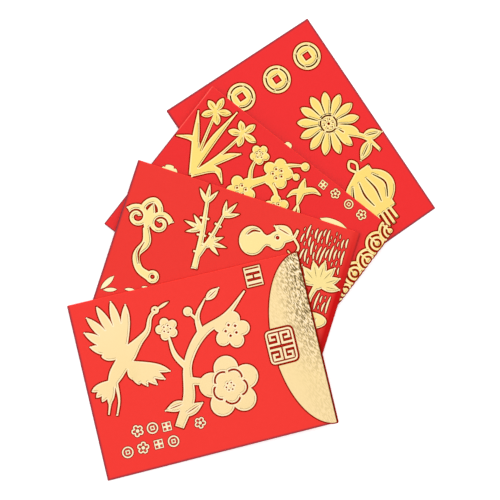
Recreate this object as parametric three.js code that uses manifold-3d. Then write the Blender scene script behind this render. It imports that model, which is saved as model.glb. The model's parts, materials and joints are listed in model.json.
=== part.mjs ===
// Four small red gift-money envelopes, fanned out and lying one on another.
// Millimetres, +Z up. The envelopes lie face up: number 4 is at the bottom, number 1 on top.
// Each is one die-cut sheet, folded into a pocket and glued, with gold foil pressed on its front.
import * as THREE from 'three';
import { mergeVertices } from 'three/addons/utils/BufferGeometryUtils.js';
import Module from 'manifold-3d';

const wasm = await Module();
wasm.setup();

// The folded envelope
const LENGTH = 118;           // crease to crease, from the bottom end to the mouth end
const WIDTH = 88;             // crease to crease, across
const PAPER = 0.22;           // one sheet
const GLUE = 0.06;            // a dried glue film
const GLUE_CLEAR = 0.01;      // gap kept on each side of a glue film
const POCKET = 0.08;          // height inside the empty pocket, over the seam tab
const CREASE_CLEAR = 0.01;    // half the gap where two panels meet at the middle of a crease
const FLAP_DEPTH = 26;        // closure flap, crease to free edge
const FLAP_INSET = 1.5;       // flap and bottom tab start this far in from the side creases
const FLAP_TAPER = 5;         // how far the flap's free edge draws in on each side
const FLAP_CORNER = 9;        // rounding of the flap's free corners
const BOTTOM_TAB = 16;        // bottom tab, crease to free edge
const BOTTOM_CHAMFER = 6;     // its cut corners
const SEAM_TAB = 12;          // seam tab, crease to free edge
const SEAM_CHAMFER = 4;       // its cut corners
const SHEET_CLEAR = 0.3;      // from a sheet's cut edge to the inside of the crease beside it
const MOUTH_SETBACK = 3;      // the back panel stops this far short of the mouth crease
const THUMB_RADIUS = 9;       // the shallow thumb cut in the back panel's mouth edge
const THUMB_DEPTH = 4;
const GLUE_MARGIN = 2.5;      // glue stops this far inside a tab's edges

// The foil
const FOIL = 0.08;            // raised height of the pressed foil
const FOIL_CLEAR = 0.002;     // under the foil, so that it only touches the paper
const FOIL_FINENESS = 0.03;   // a kink in a foil edge flatter than this is drawn straight
const FOIL_SPECK = 0.05;      // a bare speck under this area, in square millimetres, is left out

// The foil figures are drawn in steps of a grid that stretches with the front panel, with 118
// steps along it and 88 across it. A step is about a millimetre.
const STEP_X = LENGTH / 118;
const STEP_Y = WIDTH / 88;

// The half moon and the seal on envelope 1, in millimetres
const MOON_DEPTH = 23.5;      // from the mouth crease inwards
const SEAL_INSET = 4.2;       // the seal's middle, in from the half moon's edge
const SEAL_LENGTH = 14;       // along the envelope
const SEAL_WIDTH = 17;        // across it
const SEAL_CORNER = 2.6;
const SEAL_MARGIN = 1;        // bare paper round the seal
const SEAL_FRAME = 0.9;       // width of its outer line
const SEAL_LINE = 1.15;       // width of the lines inside it
const SEAL_GAP = 0.7;         // bare between them and the frame

// The fan. Middle of each envelope on the table, and the way its mouth end points.
const REST_GAP = 0.12;        // between one envelope's foil and the back of the next
const PLACES = {
  4: { x: 27.0, y: 46.1, yaw: 124.6 },
  3: { x: 0.3, y: 11.4, yaw: -37.4 },
  2: { x: -13.6, y: -15.5, yaw: -17.4 },
  1: { x: -23.4, y: -57.4, yaw: 13.6 },
};

// Heights of the sheets' undersides above the table
const SHEET_STEP = PAPER + GLUE + 2 * GLUE_CLEAR;
const BACK_Z = SHEET_STEP;
const SEAM_Z = BACK_Z + SHEET_STEP;
const FRONT_Z = SEAM_Z + PAPER + POCKET;
const THICKNESS = FRONT_Z + PAPER;
const END_FOLD = THICKNESS / 2;                 // outer radius of the end creases
const SIDE_FOLD = (THICKNESS - BACK_Z) / 2;     // front panel to back panel
const SEAM_FOLD = (THICKNESS - SEAM_Z) / 2;     // front panel to seam tab
const STACK = THICKNESS + FOIL_CLEAR + FOIL + REST_GAP;
const MOUTH = LENGTH / 2 - MOUTH_SETBACK;       // where the back panel and the seam tab end
const SEAL_X = LENGTH / 2 - MOON_DEPTH + SEAL_INSET;

const PAPER_LOOK = {
  1: { color: 0xf63d37, roughness: 0.55, metalness: 0 },
  2: { color: 0xf03e36, roughness: 0.55, metalness: 0 },
  3: { color: 0xf63232, roughness: 0.55, metalness: 0 },
  4: { color: 0xf63232, roughness: 0.55, metalness: 0 },
};
const FOIL_LOOK = {
  1: { color: 0xfadeaa, roughness: 0.3, metalness: 1 },
  2: { color: 0xece2a0, roughness: 0.3, metalness: 1 },
  3: { color: 0xfada6e, roughness: 0.3, metalness: 1 },
  4: { color: 0xfada6e, roughness: 0.3, metalness: 1 },
};
const GLUE_LOOK = { color: 0xe9e4d2, roughness: 0.4, metalness: 0 };

// Solids

function toSolid(geometry) {
  const bare = geometry.clone();
  bare.deleteAttribute('normal');
  bare.deleteAttribute('uv');
  const merged = mergeVertices(bare, 1e-5);
  return new wasm.Manifold(new wasm.Mesh({
    numProp: 3,
    vertProperties: Float32Array.from(merged.attributes.position.array),
    triVerts: Uint32Array.from(merged.index.array),
  }));
}

function toGeometry(solid) {
  const mesh = solid.getMesh();
  const geometry = new THREE.BufferGeometry();
  geometry.setAttribute('position', new THREE.BufferAttribute(Float32Array.from(mesh.vertProperties), 3));
  geometry.setIndex(new THREE.BufferAttribute(Uint32Array.from(mesh.triVerts), 1));
  return geometry;
}

function fuse(solids) {
  return solids.reduce((whole, next) => whole.add(next));
}

function cut(solid, cutters) {
  return cutters.reduce((rest, cutter) => rest.subtract(cutter), solid);
}

// An outline in x and y, raised from z to z + height.
function slab(outline, z, height) {
  const drawn = outline instanceof THREE.Shape;
  const shape = drawn ? outline : new THREE.Shape(outline.map(([x, y]) => new THREE.Vector2(x, y)));
  const settings = { depth: height, bevelEnabled: false, curveSegments: 6 };
  const geometry = new THREE.ExtrudeGeometry(shape, settings);
  geometry.translate(0, 0, z);
  return toSolid(geometry);
}

// A section in (across, up), run along x from x0 to x1.
function runAlongX(section, x0, x1) {
  const geometry = sectionGeometry(section, x1 - x0);
  const axes = [new THREE.Vector3(0, 1, 0), new THREE.Vector3(0, 0, 1), new THREE.Vector3(1, 0, 0)];
  geometry.applyMatrix4(new THREE.Matrix4().makeBasis(...axes));
  geometry.translate(x0, 0, 0);
  return toSolid(geometry);
}

// A section in (x, up), run along y from y0 to y1.
function runAlongY(section, y0, y1) {
  const geometry = sectionGeometry(section, y1 - y0);
  const axes = [new THREE.Vector3(1, 0, 0), new THREE.Vector3(0, 0, 1), new THREE.Vector3(0, -1, 0)];
  geometry.applyMatrix4(new THREE.Matrix4().makeBasis(...axes));
  geometry.translate(0, y1, 0);
  return toSolid(geometry);
}

function sectionGeometry(section, depth) {
  const shape = new THREE.Shape(section.map(([across, up]) => new THREE.Vector2(across, up)));
  return new THREE.ExtrudeGeometry(shape, { depth, bevelEnabled: false });
}

// An outline with some corners rounded: each corner is [x, y, radius].
function roundedShape(corners) {
  const shape = new THREE.Shape();
  corners.forEach(([x, y, radius], i) => {
    const here = new THREE.Vector2(x, y);
    const before = new THREE.Vector2(...corners.at(i - 1).slice(0, 2));
    const after = new THREE.Vector2(...corners[(i + 1) % corners.length].slice(0, 2));
    const start = before.sub(here).setLength(radius).add(here);
    const end = after.sub(here).setLength(radius).add(here);
    if (i === 0) {
      shape.moveTo(start.x, start.y);
    } else {
      shape.lineTo(start.x, start.y);
    }
    if (radius > 0) {
      shape.quadraticCurveTo(x, y, end.x, end.y);
    }
  });
  shape.closePath();
  return shape;
}

// The folded sheet

// A quarter-round lip, as a section: the sheet bends at the crease round an arc of outer
// radius `radius` that ends `clear` short of the arc's middle height. `out` is +1 or -1,
// the way the crease faces; `up` is +1 for a sheet on top of the fold, -1 for one under it.
// `face` is the height of the sheet's outer face.
function lip(crease, out, face, up, radius, clear = CREASE_CLEAR) {
  const steps = 4;
  const centre = [crease - out * radius, face - up * radius];
  const arc = (r) => {
    const low = Math.asin(clear / r);
    return Array.from({ length: steps + 1 }, (_, i) => {
      const angle = Math.PI / 2 - (Math.PI / 2 - low) * (i / steps);
      return [centre[0] + out * r * Math.cos(angle), centre[1] + up * r * Math.sin(angle)];
    });
  };
  return { outer: arc(radius), inner: arc(Math.max(radius - PAPER, 2 * CREASE_CLEAR)).reverse() };
}

// A section of a flat sheet with a lip at its crease, ending square at `edge`.
function lippedSection(edge, crease, face, up, radius) {
  const out = Math.sign(crease - edge);
  const { outer, inner } = lip(crease, out, face, up, radius);
  const points = [[edge, face - up * PAPER], [edge, face], ...outer, ...inner];
  return ordered(points);
}

// A whole crease, as a section: a half-round bend from the face at `face` to the one under it.
function bend(crease, out, face, radius) {
  const upper = lip(crease, out, face, 1, radius, 0);
  const lower = lip(crease, out, face - 2 * radius, -1, radius, 0);
  const outer = [...upper.outer, ...lower.outer.toReversed().slice(1)];
  const inner = [...lower.inner.toReversed(), ...upper.inner.slice(1)];
  return ordered([...outer, ...inner]);
}

function ordered(points) {
  return THREE.ShapeUtils.isClockWise(points.map(([x, y]) => ({ x, y }))) ? points.reverse() : points;
}

// The front panel keeps its half of the seam crease. At the mouth, past the back panel's end,
// its other side runs out flat to the crease line.
function frontPanel() {
  const halfRun = LENGTH / 2 - END_FOLD;
  const edge = WIDTH / 2 - SIDE_FOLD;
  const section = lippedSection(edge, -WIDTH / 2, THICKNESS, 1, SEAM_FOLD);
  const ear = [[MOUTH, edge - PAPER], [halfRun, edge - PAPER], [halfRun, WIDTH / 2], [MOUTH, WIDTH / 2]];
  return runAlongX(section, -halfRun, halfRun).add(slab(ear, THICKNESS - PAPER, PAPER));
}

function backPanel() {
  const low = -WIDTH / 2 + PAPER + SHEET_CLEAR;
  const high = WIDTH / 2 - SIDE_FOLD;
  const bottom = -LENGTH / 2 + END_FOLD;
  const sheet = slab([[bottom, low], [MOUTH, low], [MOUTH, high], [bottom, high]], BACK_Z, PAPER);
  const thumb = new THREE.Shape();
  thumb.absellipse(MOUTH, 0, THUMB_DEPTH, THUMB_RADIUS, 0, 2 * Math.PI);
  return cut(sheet, [slab(thumb, BACK_Z - PAPER, 3 * PAPER)]);
}

// From the front panel round to the back panel.
function sideCrease() {
  return runAlongX(bend(WIDTH / 2, 1, THICKNESS, SIDE_FOLD), -LENGTH / 2 + END_FOLD, MOUTH);
}

// From the front panel round to the bottom tab.
function bottomCrease() {
  const half = WIDTH / 2 - FLAP_INSET;
  return runAlongY(bend(-LENGTH / 2, -1, THICKNESS, END_FOLD), -half, half);
}

// The front panel's half of the mouth crease, which the closure flap turns on.
function mouthCrease() {
  const half = WIDTH / 2 - FLAP_INSET;
  const { outer, inner } = lip(LENGTH / 2, 1, THICKNESS, 1, END_FOLD);
  return runAlongY(ordered([...outer, ...inner]), -half, half);
}

function seamTab() {
  const edge = -WIDTH / 2 + SEAM_TAB;
  const fold = -WIDTH / 2 + SEAM_FOLD;
  const section = lippedSection(fold + PAPER, -WIDTH / 2, SEAM_Z, -1, SEAM_FOLD);
  const bottom = -LENGTH / 2 + END_FOLD;
  const outline = [
    [bottom, fold], [MOUTH, fold], [MOUTH - SEAM_CHAMFER, edge], [bottom + SEAM_CHAMFER, edge],
  ];
  return fuse([slab(outline, SEAM_Z, PAPER), runAlongX(section, bottom, MOUTH)]);
}

function bottomTab() {
  const edge = -LENGTH / 2 + BOTTOM_TAB;
  const fold = -LENGTH / 2 + END_FOLD;
  const half = WIDTH / 2 - FLAP_INSET;
  return slab([
    [fold, -half], [edge - BOTTOM_CHAMFER, -half], [edge, -half + BOTTOM_CHAMFER],
    [edge, half - BOTTOM_CHAMFER], [edge - BOTTOM_CHAMFER, half], [fold, half],
  ], 0, PAPER);
}

function closureFlap() {
  const edge = LENGTH / 2 - FLAP_DEPTH;
  const fold = LENGTH / 2 - END_FOLD;
  const half = WIDTH / 2 - FLAP_INSET;
  const outline = roundedShape([
    [fold, -half, 0], [fold, half, 0],
    [edge, half - FLAP_TAPER, FLAP_CORNER], [edge, -half + FLAP_TAPER, FLAP_CORNER],
  ]);
  const section = lippedSection(fold - PAPER, LENGTH / 2, 0, -1, END_FOLD);
  return fuse([slab(outline, 0, PAPER), runAlongY(section, -half, half)]);
}

function seamGlue() {
  const inner = -WIDTH / 2 + PAPER + SHEET_CLEAR + GLUE_MARGIN / 2;
  const outer = -WIDTH / 2 + SEAM_TAB - GLUE_MARGIN;
  const bottom = -LENGTH / 2 + END_FOLD + SEAM_CHAMFER + GLUE_MARGIN;
  const mouth = MOUTH - SEAM_CHAMFER - GLUE_MARGIN;
  const outline = [[bottom, inner], [mouth, inner], [mouth, outer], [bottom, outer]];
  return slab(outline, BACK_Z + PAPER + GLUE_CLEAR, GLUE);
}

function bottomGlue() {
  const inner = -LENGTH / 2 + END_FOLD + GLUE_MARGIN;
  const outer = -LENGTH / 2 + BOTTOM_TAB - GLUE_MARGIN;
  const half = WIDTH / 2 - FLAP_INSET - BOTTOM_CHAMFER - GLUE_MARGIN;
  const outline = [[inner, -half], [outer, -half], [outer, half], [inner, half]];
  return slab(outline, PAPER + GLUE_CLEAR, GLUE);
}

// Outlines for the foil, in steps of the grid from the panel's middle: +x to the mouth end.

const DEGREE = Math.PI / 180;

function place(points, x, y, turn = 0) {
  const c = Math.cos(turn * DEGREE);
  const s = Math.sin(turn * DEGREE);
  return points.map(([px, py]) => [x + c * px - s * py, y + s * px + c * py]);
}

// The same outline, drawn at another size about (x, y).
function sized(points, factor, x, y) {
  return points.map(([px, py]) => [x + (px - x) * factor, y + (py - y) * factor]);
}

function oval(x, y, length, width, turn = 0, sides = 14) {
  const ring = Array.from({ length: sides }, (_, i) => {
    const angle = (2 * Math.PI * i) / sides;
    return [(length / 2) * Math.cos(angle), (width / 2) * Math.sin(angle)];
  });
  return place(ring, x, y, turn);
}

function disc(x, y, radius, sides = 16) {
  return oval(x, y, 2 * radius, 2 * radius, 0, sides);
}

function bar(x, y, length, width, turn = 0) {
  return place([[0, -width / 2], [length, -width / 2], [length, width / 2], [0, width / 2]], x, y, turn);
}

// A petal or leaf from its root at (x, y). `fullness` over 1 moves its widest place to the tip,
// and `roundness` under 1 blunts its ends.
function petal(x, y, length, width, turn, fullness = 1, roundness = 1, steps = 6) {
  const half = (i) => {
    const along = (1 - Math.cos((Math.PI * i) / steps)) / 2;
    const across = (width / 2) * Math.sin(Math.PI * along ** fullness) ** roundness;
    return [length * along, across];
  };
  const inside = Array.from({ length: steps - 1 }, (_, i) => half(i + 1));
  const points = [[0, 0], ...inside.map(([a, b]) => [a, -b]), [length, 0], ...inside.reverse()];
  return place(points, x, y, turn);
}

// A brush stroke along a smooth line, as wide at each given point as `widths` says.
function stroke(points, widths, steps = 4 * (points.length - 1)) {
  const line = new THREE.CatmullRomCurve3(points.map(([x, y]) => new THREE.Vector3(x, y, 0)));
  const left = [];
  const right = [];
  for (let i = 0; i <= steps; i += 1) {
    const t = i / steps;
    const at = line.getPoint(t);
    const way = line.getTangent(t);
    const slot = t * (widths.length - 1);
    const low = Math.min(Math.floor(slot), widths.length - 2);
    const half = (widths[low] + (widths[low + 1] - widths[low]) * (slot - low)) / 2;
    left.push([at.x - way.y * half, at.y + way.x * half]);
    right.push([at.x + way.y * half, at.y - way.x * half]);
  }
  return [...right, ...left.reverse()];
}

// Centre line of a curl that winds from radius `outer` in to `inner`. `way` is +1 or -1.
function curl(x, y, outer, inner, first, turns, way, steps = 10) {
  return Array.from({ length: steps + 1 }, (_, i) => {
    const radius = outer + (inner - outer) * (i / steps);
    return polar(x, y, radius, first + (way * 360 * turns * i) / steps);
  });
}

function around(count, first, make) {
  return Array.from({ length: count }, (_, i) => make(first + (360 / count) * i, i));
}

function polar(x, y, radius, angle) {
  return [x + radius * Math.cos(angle * DEGREE), y + radius * Math.sin(angle * DEGREE)];
}

// A narrow slit left bare, from (x, y).
function slit(x, y, length, width, turn) {
  return petal(x, y, length, width, turn, 1, 1, 3);
}

// A cutter that leaves an outline bare.
function bareSlab(outline) {
  return slab(outline, -FOIL, 3 * FOIL);
}

// A figure is outlines to press and outlines to leave bare inside them.
function figure(pressed, bare = []) {
  return cut(fuse(pressed.map((outline) => slab(outline, 0, FOIL))), bare.map(bareSlab));
}

function blossom(x, y, radius, turn = 90) {
  const petals = around(5, turn, (angle) => disc(...polar(x, y, 0.6 * radius, angle), 0.4 * radius, 12));
  const dots = around(5, turn + 36, (angle) => disc(...polar(x, y, 0.3 * radius, angle), 0.085 * radius, 4));
  return { pressed: [disc(x, y, 0.45 * radius, 5), ...petals], bare: dots };
}

function leaf(x, y, length, width, turn) {
  const vein = slit(...polar(x, y, 0.18 * length, turn), 0.62 * length, 0.11 * width, turn);
  return { pressed: [petal(x, y, length, width, turn, 0.85)], bare: [vein] };
}

function join(groups) {
  return figure(groups.flatMap((g) => g.pressed), groups.flatMap((g) => g.bare ?? []));
}

const pressed = (...outlines) => ({ pressed: outlines });

// Envelope 1

// Points in millimetres, as steps of the grid.
function onGrid(points) {
  return points.map(([x, y]) => [x / STEP_X, y / STEP_Y]);
}

function moonOutline() {
  const steps = 36;
  return onGrid(Array.from({ length: steps + 1 }, (_, i) => {
    const angle = Math.PI / 2 + (Math.PI * i) / steps;
    return [LENGTH / 2 + MOON_DEPTH * Math.cos(angle), (WIDTH / 2) * Math.sin(angle)];
  }));
}

function sealShape(grow) {
  const half = [SEAL_LENGTH / 2 + grow, SEAL_WIDTH / 2 + grow];
  const signs = [[-1, -1], [1, -1], [1, 1], [-1, 1]];
  const corners = onGrid(signs.map(([u, v]) => [SEAL_X + u * half[0], v * half[1]]));
  return roundedShape(corners.map((corner) => [...corner, (SEAL_CORNER + grow) / STEP_X]));
}

function moonFoil() {
  return cut(slab(moonOutline(), 0, FOIL), [bareSlab(sealShape(SEAL_MARGIN))]);
}

// A frame round four square key-fret spirals, each growing from the frame's long side.
function sealFoil() {
  const frame = cut(slab(sealShape(0), 0, FOIL), [bareSlab(sealShape(-SEAL_FRAME))]);
  const root = SEAL_LENGTH / 2 - SEAL_FRAME / 2;
  const inset = SEAL_FRAME + SEAL_GAP + SEAL_LINE / 2;
  const near = [(SEAL_GAP + SEAL_LINE) / 2, SEAL_GAP + SEAL_LINE / 2];
  const far = [SEAL_LENGTH / 2 - inset, SEAL_WIDTH / 2 - inset];
  const middle = [(near[0] + far[0]) / 2, (near[1] + far[1]) / 2];
  const path = [[root, near[1]], near, [near[0], far[1]], far, [far[0], middle[1]], middle];
  const frets = [[-1, -1], [1, -1], [1, 1], [-1, 1]].flatMap(([u, v]) => path.slice(1).map(
    (end, i) => {
      const low = [0, 1].map((axis) => Math.min(path[i][axis], end[axis]) - SEAL_LINE / 2);
      const high = [0, 1].map((axis) => Math.max(path[i][axis], end[axis]) + SEAL_LINE / 2);
      high[0] = Math.min(high[0], root);
      const box = [low, [high[0], low[1]], high, [low[0], high[1]]];
      return slab(ordered(onGrid(box.map(([x, y]) => [SEAL_X + u * x, v * y]))), 0, FOIL);
    },
  ));
  return fuse([frame, ...frets]);
}

function stampFoil() {
  const x = 34;
  const y = 37;
  const frame = { pressed: [bar(x - 4.2, y, 8.4, 10)], bare: [bar(x - 3.6, y, 7.2, 8.8)] };
  const rows = [-2.9, 0, 2.9].map((up) => bar(x - 4, y + up, 8, 1.5));
  const gap = bar(x - 0.4, y, 0.8, 3);
  return figure(frame.pressed, frame.bare).add(figure(rows, [gap]));
}

// A bough with a large double blossom, a smaller one, buds and leaves.
function boughFoil() {
  const [x, y, radius] = [10, -13.5, 15.5];
  const petals = (first, away, size, sides) => around(
    5, first, (angle) => disc(...polar(x, y, away * radius, angle), size * radius, sides),
  );
  const inner = petals(126, 0.3, 0.24, 12);
  const moat = petals(126, 0.3, 0.3, 12);
  const bridges = around(5, 90, (angle) => bar(x, y, 0.62 * radius, 1.5, angle));
  const dots = around(6, 0, (angle) => disc(...polar(x, y, 1.9, angle), 0.5, 4));
  const outerSolid = figure([disc(x, y, 0.5 * radius), ...petals(90, 0.6, 0.4, 18)], moat);
  const innerSolid = figure([...inner, disc(x, y, 0.25 * radius), ...bridges], dots);
  const wood = stroke(
    [[-19, -27], [-11, -14], [-8, 2], [2, 15], [16, 21], [28, 31]], [4.5, 6, 4, 5, 3, 0.8],
  );
  const twig = stroke([[-8, 0], [-13, 8], [-14, 19]], [3.5, 2.5, 0.8]);
  const twig2 = stroke([[2, 15], [2, 24], [8, 32]], [3.5, 2.2, 0.6]);
  const rest = join([
    pressed(wood, twig, twig2),
    blossom(17, 13.5, 9.5, 70),
    blossom(-14, 21.5, 5.8, 100),
    leaf(-13, -16, 11, 5.5, 188),
    leaf(-16, -22, 12, 5.5, 20),
    leaf(8, 31, 9, 4.5, 30),
    pressed(disc(-2, 27.5, 2.4, 10), stroke([[2, 22], [-2, 27.5]], [1.6, 1.2], 2)),
    pressed(stroke([[-9, -6], [0, -9]], [4, 3], 3)),
  ]);
  return fuse([outerSolid, innerSolid, rest]);
}

// A crane in flight, its wings fans of feathers.
function craneFoil() {
  const body = stroke([[-24, 22], [-33, 15], [-43, 5], [-49, -4]], [3, 9, 8, 2.5]);
  const neck = stroke([[-27, 20], [-20, 25], [-17, 32], [-12, 36]], [4.5, 3, 2.2, 2], 9);
  const beak = petal(-12.5, 35.5, 8.5, 1.8, 20);
  const legs = [[-52, -16], [-47.5, -17.5]].map(
    ([x, y]) => stroke([[-44, 2], [x + 3, y + 8], [x, y]], [2.2, 1.2, 0.9]),
  );
  const feather = (x, y, length, width, turn) => petal(x, y, length, width, turn, 1.7, 0.7, 6);
  const fan = (x, y, lengths, width, first, step) => lengths.map(
    (length, i) => feather(x, y, length, width, first + step * i),
  );
  const upper = fan(-35, 14, [29, 32, 32.5, 31, 27, 21, 14], 5.4, 78, 15);
  const lower = fan(-34, 11, [24, 23, 21, 18, 15, 11], 4.8, -28, -13);
  const tail = fan(-44, 3, [15, 15, 15, 15], 4.2, 196, 16);
  const head = disc(-13.3, 35.4, 2.3, 10);
  const small = (outline) => sized(outline, 0.87, -46, 9);
  const outlines = [body, neck, beak, head, ...legs, ...upper, ...lower, ...tail];
  return figure(outlines.map(small), [small(disc(-13.6, 35.6, 0.6, 6))]);
}

// Envelope 2

// A ruyi sceptre: a cloud head of two curls under an arch, on a curved handle.
function ruyiFoil() {
  const head = [-45, 17];
  const curls = [-1, 1].map((way) => {
    const line = curl(head[0] + way * 5.9, head[1], 5.6, 1.3, 90 - way * 70, 1.35, way, 16);
    return stroke(line, [2.6, 2.4, 2, 1.8], 16);
  });
  const arch = stroke([[-50, 20.5], [-48.5, 25], [-45, 27.4], [-41.5, 25], [-40, 20.5]], [2.4, 3, 2.4], 10);
  const heart = petal(-45, 11.5, 14.5, 5.4, 90, 0.9);
  const handle = stroke(
    [[-45, 13], [-42.5, 6], [-45.5, -1], [-42, -7.5], [-36, -9.5]], [3, 4.4, 3.4, 3.6, 4.2], 14,
  );
  const end = disc(-34.5, -9.2, 3.3, 12);
  const slot = stroke([[-43.6, 6], [-44.8, 0], [-42.8, -5]], [0.3, 1, 0.3], 6);
  return figure([...curls, arch, heart, handle, end], [disc(-34.5, -9.2, 1.2, 8), slot]);
}

// Bamboo: two canes with joints, and leaves in threes.
function bambooFoil() {
  const canes = [
    { foot: [-16, 1], top: [-20, 35], width: 3 },
    { foot: [-16, 8], top: [-10, 31], width: 2.4 },
  ];
  const sprays = [[-20, 34, 98], [-10, 30, 62], [-18.2, 21, 172], [-13.6, 15.5, 2]];
  const size = 10;
  const stems = canes.map(({ foot, top, width }) => {
    const middle = [(foot[0] + top[0]) / 2 + 0.6, (foot[1] + top[1]) / 2];
    return stroke([foot, middle, top], [width, width * 0.85, width * 0.6], 5);
  });
  const joints = canes.flatMap(({ foot, top, width }) => [0.25, 0.5, 0.75].map((t) => {
    const run = [top[0] - foot[0], top[1] - foot[1]];
    const turn = Math.atan2(run[1], run[0]) / DEGREE + 90;
    const x = foot[0] + run[0] * t + 1.2 * t * (1 - t);
    return place(bar(-width * 0.8, 0, width * 1.6, 1), x, foot[1] + run[1] * t, turn);
  }));
  const leaves = sprays.flatMap(([x, y, turn]) => [-34, 0, 34].map(
    (fan) => petal(x, y, size * (fan === 0 ? 1 : 0.85), size * 0.24, turn + fan, 0.8, 1, 4),
  ));
  return figure([...stems, ...joints, ...leaves]);
}

// A bottle gourd with its stalk, a leaf and a tendril.
function gourdFoil() {
  const waist = stroke(
    [[7, 23.2], [11, 24.5], [14.4, 25.6], [17, 26.4], [19.6, 27.2]], [14, 9.6, 5, 6.8, 9.4], 12,
  );
  const flesh = [oval(7.4, 23.3, 13.4, 14.8, 18, 20), oval(19.4, 27.1, 8.8, 9.6, 18, 16), waist];
  const stalk = stroke([[22.5, 28], [27, 31], [28, 35.5]], [2.4, 1.8, 1.2], 6);
  const tendril = stroke([[27, 31], [31, 27], [29, 22.5], [26, 24]], [1.3, 1.1, 0.9, 0.6], 9);
  const shine = [stroke([[4.2, 25.5], [6.5, 28.3], [10, 28.8]], [0.5, 1.1, 0.5], 6), disc(19.2, 28.6, 1, 8)];
  return join([{ pressed: [...flesh, stalk, tendril], bare: shine }, leaf(26.5, 31.5, 11, 6.5, 168)]);
}

// A lotus flower over its leaf.
function lotusFoil() {
  const root = [46, 12];
  const ring = [-3, -2, -1, 0, 1, 2, 3].map(
    (i) => petal(...root, 13 - 0.5 * Math.abs(i), 4.6, 90 + 28 * i, 1.1, 0.85),
  );
  const stem = stroke([[46, 14], [44, 4], [46, -4]], [3.4, 1.8, 1.5], 7);
  const pad = oval(47, -6, 18, 8.6, 12, 24);
  const veins = [20, 90, 160, 200, 270, 340].map(
    (angle) => slit(...polar(47, -6, 1.1, angle), 2.5, 0.6, angle),
  );
  return figure([...ring, stem, pad, disc(...root, 2.4, 10)], veins);
}

// Envelope 3

// An orchid: arched leaves from one root, and two flowers.
function orchidFoil() {
  const root = [-40, 2];
  const blades = [
    [[-49, 17], [-58, 13]], [[-50, 19], [-57, 30]], [[-42, 22], [-41, 41.5]],
    [[-31.5, 20], [-26.5, 26]], [[-31.5, 12], [-25, 8]],
  ];
  const leaves = blades.map(([bend, tip]) => stroke([root, bend, tip], [2.2, 3.8, 0.4], 7));
  const flower = (x, y, turn) => pressed(...[0, 64, 132, 212, 290].map(
    (spread, i) => petal(x, y, 7.8 - 0.9 * (i % 2), 3.8, turn + spread, 1.2, 0.75),
  ));
  const flowers = [flower(-49.5, 35, 100), flower(-32, 34.5, 75)];
  const stalks = pressed(
    stroke([root, [-45, 18], [-49.5, 35]], [2, 1.5, 1.4], 4),
    stroke([root, [-35, 17], [-32, 34.5]], [2, 1.5, 1.4], 4),
  );
  return join([pressed(...leaves), ...flowers, stalks]);
}

// A spray of plum blossom.
function plumFoil() {
  return join([
    pressed(
      stroke([[-20, 3], [-15, 15], [-9, 24], [-5, 35], [2, 41]], [4, 4.6, 3.4, 2.4, 1]),
      stroke([[-9, 24], [-2, 22], [4, 17]], [3, 2.2, 1.6], 4),
      stroke([[-14, 17], [-18, 23], [-19, 30]], [2.6, 2, 1], 4),
      stroke([[-5, 33], [2.5, 34]], [1.6, 1.2], 2),
      disc(3, 41, 2.3, 10),
      disc(2.5, 34, 1.9, 8),
    ),
    blossom(-15.5, 11.5, 7.8, 80),
    blossom(-6, 29.5, 8, 110),
    blossom(4, 15.5, 6.6, 60),
    blossom(-19, 31.5, 5.2, 90),
  ]);
}

function swallowFoil() {
  return figure([
    petal(6.5, 36, 15, 4.2, -68, 0.8, 0.85),
    stroke([[9.5, 30], [13.5, 34], [18, 34.5]], [3.6, 3, 0.5], 6),
    stroke([[9.5, 30], [6, 27], [5, 23]], [3.6, 2.6, 0.5], 6),
    petal(11.4, 24, 8, 1.5, -50),
    petal(11.4, 24, 8, 1.5, -82),
  ]);
}

// Rolling waves along the mouth end: ringed scales, each over the one before.
function waveFoil() {
  const scales = [[57.6, 4.2], [56, 13.9], [57.4, 23.4], [55.8, 33.1], [57.2, 42.3]];
  const scale = ([x, y]) => fuse([
    figure([disc(x, y, 6.2, 19)], [disc(x, y, 4.9, 15)]),
    figure([disc(x, y, 3.7, 13)], [disc(x, y, 2.5, 11)]),
    figure([disc(x, y, 1.4, 7), bar(x - 5.4, y + 0.1, 5.4, 0.9, -2)]),
  ]);
  const over = (lower, spot) => lower.subtract(bareSlab(disc(...spot, 6, 17))).add(scale(spot));
  return scales.slice(1).reduce(over, scale(scales[0]));
}

// Envelope 4

// A bare line round (x, y) with four bridges across it.
function bridgedLine(x, y, outer, inner, bridge, first) {
  const line = bareSlab(disc(x, y, outer, 14)).subtract(slab(disc(x, y, inner, 14), -2 * FOIL, 5 * FOIL));
  const gaps = around(4, first, (angle) => slab(bar(x, y, outer + 1, bridge, angle), -2 * FOIL, 5 * FOIL));
  return cut(line, gaps);
}

// An old coin: round, with a square hole and a ring line.
function coinFoil(x, y, radius) {
  const side = 0.52 * radius;
  const body = figure([disc(x, y, radius, 26)], [bar(x - side / 2, y, side, side)]);
  return body.subtract(bridgedLine(x, y, 0.84 * radius, 0.74 * radius, 0.9, 45));
}

// A chrysanthemum with a stem and leaves.
function mumFoil() {
  const heart = [8, -22];
  const count = 13;
  const petals = around(count, 0, (angle) => petal(...heart, 16.5, 5, angle, 1.8, 0.65, 7));
  const slits = around(count, 180 / count, (angle) => slit(...polar(...heart, 5.2, angle), 9, 0.9, angle));
  const dots = around(6, 15, (angle) => disc(...polar(...heart, 2.4, angle), 0.5, 4));
  const flower = figure([disc(...heart, 9, 18), ...petals], [...slits, disc(...heart, 0.8, 6), ...dots]);
  const stem = stroke([[0, -26], [-8, -34], [-18, -37]], [3, 2.4, 1.6], 7);
  const rest = join([pressed(stem), leaf(-7, -33, 11, 6, 250), leaf(-11, -35.5, 12, 6, 120)]);
  return flower.subtract(bridgedLine(...heart, 4.8, 4, 1, 30)).add(rest);
}

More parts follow.
